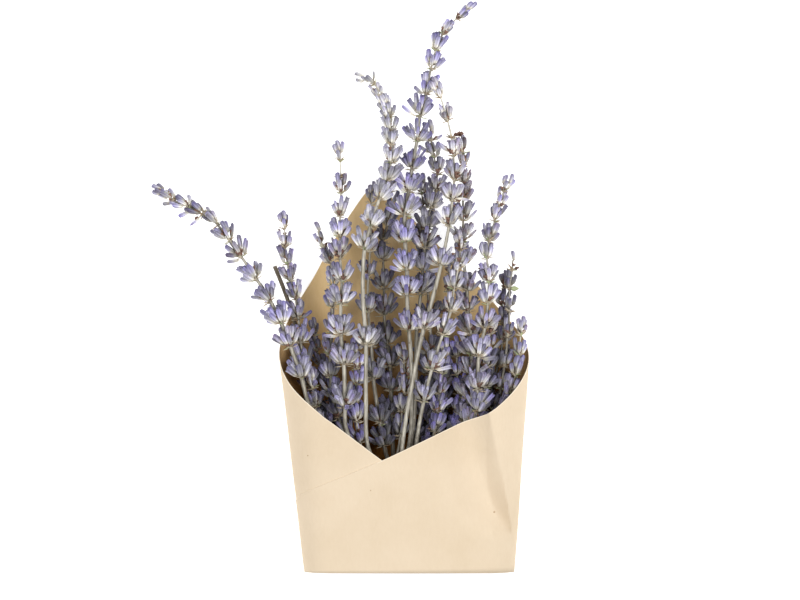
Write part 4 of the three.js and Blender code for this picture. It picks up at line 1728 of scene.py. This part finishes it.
@dataclass
class BloomForms:
    """The small forms that the spikes repeat, each one unit long along +Z and one unit in radius."""

    sides: int = 8
    rib: float = 0.09
    rib_heights: Span = (0.1, 0.3)
    stalk_end: float = 0.34
    throat: float = 0.62
    throat_floor: float = 0.04
    scale_bend: float = 0.5
    scale_columns: tuple[float, ...] = (-1.0, -0.5, 0.0, 0.5, 1.0)
    forms: dict[Bloom, Object] = field(default_factory=dict)

    def spindle(self, shape: Spindle) -> Object:
        """Makes a ribbed spindle.

        Args:
            shape: the calyx's shape.

        Returns:
            The form.
        """
        vertices: list[Point] = []
        faces: list[tuple[int, ...]] = []
        along: list[float] = []
        ribs: list[float] = []
        profile, count = list(shape.rings), self.sides
        if shape.mouth:
            height, radius = shape.rings[-1]
            profile.append((height - shape.mouth, radius * self.throat))
        for index, (z, radius) in enumerate(profile):
            rise = shape.teeth if index == len(shape.rings) - 1 else 0.0
            shift = shape.stalk_out * smooth(0.0, self.stalk_end, z) + shape.bend * z * z
            for k in range(count):
                angle = 2 * math.pi * k / count
                reach = radius * (1 + self.rib * (1 if k % 2 else -1) * smooth(*self.rib_heights, z))
                x, y = reach * math.cos(angle) + shift, reach * math.sin(angle)
                vertices.append((x, y, z + rise * (k % 2)))
                along.append(z)
                ribs.append(float(k % 2))
                if index:
                    low, high, after = (index - 1) * count, index * count, (k + 1) % count
                    faces.append((low + k, low + after, high + after, high + k))
        last = (len(profile) - 1) * count
        tip = profile[-1][0] - self.throat_floor if shape.mouth else 1.0
        vertices += [(shape.stalk_out + shape.bend * tip * tip, 0.0, tip), (0.0, 0.0, 0.0)]
        top, root = len(vertices) - 2, len(vertices) - 1
        for k in range(count):
            after = (k + 1) % count
            faces += [(last + k, last + after, top), (after, k, root)]
        return self.form(shape.name, vertices, faces, [*along, tip, 0.0], [*ribs, 0.5, 0.5])

    def scale(self, shape: Scale) -> Object:
        """Makes a cupped scale with two faces and a rim.

        Args:
            shape: the bract's or petal's shape.

        Returns:
            The form.
        """
        columns, wide, tall = self.scale_columns, len(self.scale_columns), len(shape.rows)
        vertices = [
            (lift + self.scale_bend * z * z - shape.cup * half * place * place, half * place, z)
            for lift in (0.0, shape.thickness)
            for z, half in shape.rows
            for place in columns
        ]
        faces: list[tuple[int, ...]] = []
        back = wide * tall
        for a in (row * wide + k for row in range(tall - 1) for k in range(wide - 1)):
            faces.append((a + wide, a + wide + 1, a + 1, a))
            faces.append((back + a, back + a + 1, back + a + wide + 1, back + a + wide))
        right, left = range(2 * wide - 1, back, wide), range(back - 2 * wide, 0, -wide)
        rim = [*range(wide), *right, *range(back - 2, back - wide - 1, -1), *left]
        for a, b in zip(rim, [*rim[1:], rim[0]]):
            faces.append((a, b, back + b, back + a))
        along = [vertex[2] for vertex in vertices]
        return self.form(shape.name, vertices, faces, along, [abs(vertex[1]) for vertex in vertices])

    def form(self, name: str, vertices: list, faces: list, along: list, ribs: list) -> Object:
        """Writes a form's mesh.

        Args:
            name: the form's name.
            vertices: its points.
            faces: the points of each face.
            along: how far up each point is.
            ribs: whether each point is on a rib, 0 to 1.

        Returns:
            The form.
        """
        mesh = smooth_mesh(name, vertices, faces)
        write(mesh, "along", "FLOAT", along)
        write(mesh, "rib", "FLOAT", ribs)
        return show(name, mesh)

    def build(self) -> None:
        """Makes every form."""
        for bloom, shape in SHAPES.items():
            self.forms[bloom] = self.spindle(shape) if isinstance(shape, Spindle) else self.scale(shape)

    def clear(self) -> None:
        """Removes the forms once every spike holds its own copies."""
        for made in self.forms.values():
            bpy.data.objects.remove(made)


@dataclass
class SpikeTree:
    """The Geometry Nodes tree that sweeps a stem along its path and sets what grows on its points.

    corner and flute are the outer and inner radius of the four-cornered section, and size_spread is
    how much the tree varies the size of the blooms on its own.
    """

    forms: BloomForms
    stem: Material
    bare: Material
    finishes: dict[Bloom, Material]
    corners: int = 4
    corner: float = 1.26
    flute: float = 0.8
    section_turn: float = 45.0
    size_spread: float = 0.05
    seed: int = 11
    tree: Optional[NodeTree] = None

    def named(self, g: Graph, name: str, kind: str = "FLOAT") -> NodeSocket:
        """Returns a named value of the points."""
        return g.node("GeometryNodeInputNamedAttribute", {"Name": name}, data_type=kind).outputs[0]

    def rod(self, g: Graph, given: bpy.types.NodeOutputs) -> NodeSocket:
        """Sweeps the fluted square stem along its path.

        Args:
            g: the tree's graph.
            given: the tree's inputs.

        Returns:
            The stem with its finish.
        """
        line = g.node("GeometryNodeMeshToCurve", {"Mesh": given["Geometry"]}).outputs[0]
        upright = g.node("GeometryNodeSetCurveNormal", {"Curve": line}, mode="Z_UP").outputs[0]
        star = {"Points": self.corners, "Inner Radius": given["Flute"], "Outer Radius": given["Corner"]}
        turn = {"Rotation": (0.0, 0.0, math.radians(self.section_turn))}
        turn["Geometry"] = g.node("GeometryNodeCurveStar", star).outputs[0]
        ribs = {"Geometry": g.node("GeometryNodeTransform", turn).outputs[0], "Name": "rib"}
        ribs["Value"] = g.math("MODULO", g.node("GeometryNodeInputIndex").outputs[0], 2.0)
        sweep = {"Curve": upright, "Scale": self.named(g, "half_side"), "Fill Caps": True}
        sweep["Profile Curve"] = g.node("GeometryNodeStoreNamedAttribute", ribs).outputs[0]
        rod = g.node("GeometryNodeCurveToMesh", sweep).outputs[0]
        sleek = g.node("GeometryNodeSetShadeSmooth", {"Geometry": rod, "Shade Smooth": True}).outputs[0]
        finished = {"Geometry": sleek, "Material": given["Stem Finish"]}
        return g.node("GeometryNodeSetMaterial", finished).outputs[0]

    def blooms(self, g: Graph, bloom: Bloom, placing: dict) -> NodeSocket:
        """Sets one kind of bloom on its points.

        Args:
            g: the tree's graph.
            bloom: the kind.
            placing: the points and each bloom's turn and size.

        Returns:
            The blooms with their finish.
        """
        chosen = g.node("FunctionNodeCompare", data_type="INT", operation="EQUAL")
        ports = [socket for socket in chosen.inputs if socket.enabled and socket.type == "INT"]
        g.feed(ports[0], self.named(g, "kind", "INT"))
        g.feed(ports[1], bloom.value)
        form = g.node("GeometryNodeObjectInfo", {"Object": self.forms.forms[bloom], "As Instance": True})
        placing = {**placing, "Selection": chosen.outputs[0], "Instance": form.outputs["Geometry"]}
        grown = g.node("GeometryNodeInstanceOnPoints", placing).outputs[0]
        real = g.node("GeometryNodeRealizeInstances", {0: grown}).outputs[0]
        finished = {"Geometry": real, "Material": self.finishes[bloom]}
        return g.node("GeometryNodeSetMaterial", finished).outputs[0]

    def build(self) -> None:
        """Builds the tree."""
        inputs = [
            ("Geometry", "Geometry", None),
            ("Corner", "Float", self.corner),
            ("Flute", "Float", self.flute),
            ("Size Spread", "Float", self.size_spread),
            ("Seed", "Int", self.seed),
            ("Stem Finish", "Material", None),
        ]
        self.tree = new_group("flower_spike", "GeometryNodeTree", inputs, [("Geometry", "Geometry")])
        g = Graph(self.tree)
        given = g.node("NodeGroupInput").outputs
        ends = {"Min": g.math("SUBTRACT", 1.0, given["Size Spread"]), "Seed": given["Seed"]}
        ends["Max"] = g.math("ADD", 1.0, given["Size Spread"])
        spread = g.node("FunctionNodeRandomValue", ends, data_type="FLOAT")
        sizes = {0: self.named(g, "size", "FLOAT_VECTOR")}
        sizes["Scale"] = next(socket for socket in spread.outputs if socket.enabled)
        turns = {0: self.named(g, "turned", "FLOAT_VECTOR")}
        placing = {"Points": given["Geometry"]}
        placing["Rotation"] = g.node("FunctionNodeEulerToRotation", turns).outputs[0]
        placing["Scale"] = g.node("ShaderNodeVectorMath", sizes, operation="SCALE").outputs[0]
        joined = g.node("GeometryNodeJoinGeometry")
        g.feed(joined.inputs[0], self.rod(g, given))
        for bloom in self.forms.forms:
            g.feed(joined.inputs[0], self.blooms(g, bloom, placing))
        g.feed(g.node("NodeGroupOutput").inputs[0], joined.outputs[0])

    def dress(self, cloud: Object, name: str, bare: bool) -> Object:
        """Runs the tree on a stem's points.

        Args:
            cloud: the points.
            name: the finished piece's name.
            bare: whether the stem has no flowers.

        Returns:
            The finished piece.
        """
        modifier = cloud.modifiers.new("spike", "NODES")
        modifier.node_group = self.tree
        sockets = [item for item in self.tree.interface.items_tree if item.in_out == "INPUT"]
        identifiers = {item.name: item.identifier for item in sockets}
        modifier[identifiers["Stem Finish"]] = self.bare if bare else self.stem
        return settle(cloud, name)


# The band that ties the stems


@dataclass
class TieBand:
    """Raffia wound several times round the bundle inside the wrap.

    squareness is the power that squares its outline. Shares of the wall are how far the band's edge
    and the hollows between its strands stand off the bundle, and what a strand adds to a hollow.
    """

    bundle: Bundle
    width: float = 7.0
    trim: float = 0.98
    inner: Span = (11.42, 5.26)
    rounding: float = 3.4
    squareness: float = 0.34
    wall: float = 1.15
    edge_share: float = 0.45
    hollow_share: float = 0.62
    strand_share: float = 0.36
    slant: float = 0.5
    gap: float = 0.05
    turns: int = 5
    around: int = 96
    across: int = 30

    def outline(self, share: float, grow: float) -> Span:
        """Finds a point of the rounded oblong.

        Args:
            share: how far round it is, 0 to 1.
            grow: how far the oblong stands off the bundle.

        Returns:
            The point across and above the bundle's middle.
        """
        angle, radius = 2 * math.pi * share, self.rounding + grow
        return tuple(
            math.copysign(abs(part) ** self.squareness, part) * (half + grow - radius) + part * radius
            for part, half in zip((math.cos(angle), math.sin(angle)), self.inner)
        )

    def section(self, share: float) -> list[Span]:
        """Sets out the band's section.

        Args:
            share: how far round the bundle it is, 0 to 1.

        Returns:
            How far across the band each point is, 0 to 1, and how far it stands off the bundle.
        """
        last = self.across - 3
        points = []
        for k in range(last + 1):
            strand = abs(math.sin(math.pi * (k / last * self.turns + share * self.slant)))
            rise = self.hollow_share + self.strand_share * strand if 0 < k < last else self.edge_share
            points.append((k / last, self.wall * rise))
        return [*points, (1.0, self.gap), (0.0, self.gap)]

    def build(self, finish: Material) -> Object:
        """Makes the wound band.

        Args:
            finish: its material.

        Returns:
            The finished piece.
        """
        vertices, faces = [], []
        for ring in range(self.around):
            share, after = ring / self.around, (ring + 1) % self.around
            for k, (across, lift) in enumerate(self.section(share)):
                x, z = self.outline(share, lift)
                y = (across - 0.5) * self.width * MM * self.trim
                vertices.append((x * MM, y, (z + self.bundle.middle) * MM))
                near, far, beside = ring * self.across, after * self.across, (k + 1) % self.across
                faces.append((near + k, near + beside, far + beside, far + k))
        mesh = smooth_mesh("tie_winding", vertices, faces)
        mesh.materials.append(finish)
        return show("tie_winding", mesh)


# The studio


@dataclass(frozen=True)
class Lamp:
    """A soft square light: its place and side in metres, and its power."""

    name: str
    place: Point
    side: float
    power: float


@dataclass
class Studio:
    """A pale floor, soft lights and a camera that looks straight down, as the photograph does.

    centre, frame_width, plane, lens and sensor are in millimetres, the other lengths in metres.
    """

    centre: Span = (0.0, 97.4)
    frame_width: float = 344.0
    plane: float = 22.0
    lens: float = 200.0
    sensor: float = 36.0
    sight: float = 20.0
    room_light: float = 0.33
    lamps: tuple[Lamp, ...] = (
        Lamp("key_light", (0.75, 0.3, 1.0), 0.8, 14.2),
        Lamp("fill_light", (-0.8, -0.1, 1.0), 1.3, 13.8),
    )
    aim_height: float = 0.02
    floor_half: float = 3.0
    floor_grey: float = 0.93
    floor_roughness: float = 0.9
    floor_glow: float = 0.5
    white: Colour = (1.0, 1.0, 1.0, 1.0)

    def build(self) -> None:
        """Makes the stage."""
        scene = bpy.context.scene
        scene.view_settings.view_transform = "Standard"
        scene.world = bpy.data.worlds.new("soft_room")
        scene.world.use_nodes = True
        room = scene.world.node_tree.nodes["Background"].inputs
        room["Color"].default_value = self.white
        room["Strength"].default_value = self.room_light
        self.floor()
        for lamp in self.lamps:
            self.light(lamp)
        data = bpy.data.cameras.new("camera")
        data.lens, data.sensor_width, data.clip_end = self.lens, self.sensor, self.sight
        distance = self.lens / self.sensor * self.frame_width
        camera = show("camera", data)
        camera.location = (self.centre[0] * MM, self.centre[1] * MM, (self.plane + distance) * MM)
        scene.camera = camera

    def floor(self) -> None:
        """Makes the pale floor."""
        half, grey = self.floor_half, self.floor_grey
        corners = [(-half, -half, 0), (half, -half, 0), (half, half, 0), (-half, half, 0)]
        mesh = bpy.data.meshes.new("floor")
        mesh.from_pydata(corners, [], [(0, 1, 2, 3)])
        material, g, shader = start_material("pale_floor")
        looks = {"Base Color": (grey, grey, grey, 1.0), "Roughness": self.floor_roughness}
        looks |= {"Emission Color": self.white, "Emission Strength": self.floor_glow}
        for name, value in looks.items():
            g.feed(shader.inputs[name], value)
        mesh.materials.append(material)
        show("floor", mesh)

    def light(self, lamp: Lamp) -> None:
        """Makes a light and aims it at the bunch.

        Args:
            lamp: what it is like.
        """
        data = bpy.data.lights.new(lamp.name, "AREA")
        data.size, data.energy = lamp.side, lamp.power
        light = show(lamp.name, data)
        light.location = lamp.place
        aim = Vector((self.centre[0] * MM, self.centre[1] * MM, self.aim_height)) - Vector(lamp.place)
        light.rotation_euler = aim.to_track_quat("-Z", "Y").to_euler()


# The finishes of this bunch, and the order of the work

KRAFT_OUTSIDE = PaperFinish("kraft_outside", srgb(210, 193, 169), srgb(202, 184, 158), srgb(140, 104, 66))
# The inside's colour far down in the wrap is painted shade.
KRAFT_INSIDE = PaperFinish(
    "kraft_inside", srgb(226, 197, 149), srgb(210, 179, 127), srgb(134, 98, 58), painted_deep_shade=srgb(138, 88, 32)
)
KRAFT_CUT_EDGE = PaperFinish("kraft_cut_edge", srgb(232, 218, 194), srgb(222, 206, 180), srgb(160, 124, 82))
# The straw stems get painted shade in their grooves.
STEM_STRAW = DryFinish(
    "stem_straw", srgb(208, 203, 189), srgb(110, 104, 93), srgb(92, 78, 60), 160.0, (1.0, 0.06, 1.0),
    grain_share=0.75, groove_shade=0.62,
)
STEM_BROWN = DryFinish(
    "stem_brown", srgb(136, 126, 108), srgb(84, 74, 60), srgb(58, 48, 38), 200.0, (1.0, 0.12, 1.0)
)
BRACT_TAN = DryFinish(
    "bract_tan", srgb(212, 205, 184), srgb(156, 134, 106), srgb(96, 72, 54), 500.0, fresh=srgb(164, 172, 130)
)
PETAL_RUST = DryFinish("petal_rust", srgb(146, 114, 98), srgb(98, 73, 63), srgb(52, 42, 48), 700.0, bump=0.5)
RAFFIA = DryFinish(
    "raffia", srgb(182, 148, 100), srgb(148, 110, 68), srgb(102, 72, 42), 260.0, (0.2, 1.0, 0.2)
)


def attach(piece: Object, node: str) -> None:
    """Puts a finished piece in its node's place and reports it.

    Args:
        piece: the piece.
        node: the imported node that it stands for.
    """
    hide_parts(node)
    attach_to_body(piece, "root")
    LOG.info("%s stands for %s with %d faces", piece.name, node, len(piece.data.polygons))


def main() -> None:
    """Builds the bunch and its studio."""
    logging.basicConfig(level=logging.INFO, format="%(message)s")
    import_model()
    Studio().build()
    palette = Palette.make()
    wrap = PaperWrap()
    papers = [finish.build(palette) for finish in (KRAFT_OUTSIDE, KRAFT_INSIDE, KRAFT_CUT_EDGE)]
    attach(wrap.build(papers), "paper_wrap")
    bundle = Bundle()
    attach(TieBand(bundle).build(RAFFIA.build(palette)), "tie_band")
    forms = BloomForms()
    forms.build()
    calyx = CalyxFinish("calyx_down").build(palette)
    finishes = dict.fromkeys((Bloom.CLOSED, Bloom.OPEN, Bloom.WITHERED), calyx)
    finishes |= {Bloom.BRACT: BRACT_TAN.build(palette), Bloom.PETAL: PETAL_RUST.build(palette)}
    spikes = SpikeTree(forms, STEM_STRAW.build(palette), STEM_BROWN.build(palette), finishes)
    spikes.build()
    builder = SpikeBuilder(wrap, bundle)
    for number, route in enumerate(ROUTES):
        chance = random.Random(FIRST_SEED + number)
        path, listed = builder.path(route, chance)
        growths = builder.growths(route, path, listed, chance)
        cloud = builder.cloud(route, path, growths)
        piece = spikes.dress(cloud, route.name.replace("stem_", "spray_"), not route.whorls)
        attach(piece, route.name)
    forms.clear()


if __name__ == "__main__":
    main()
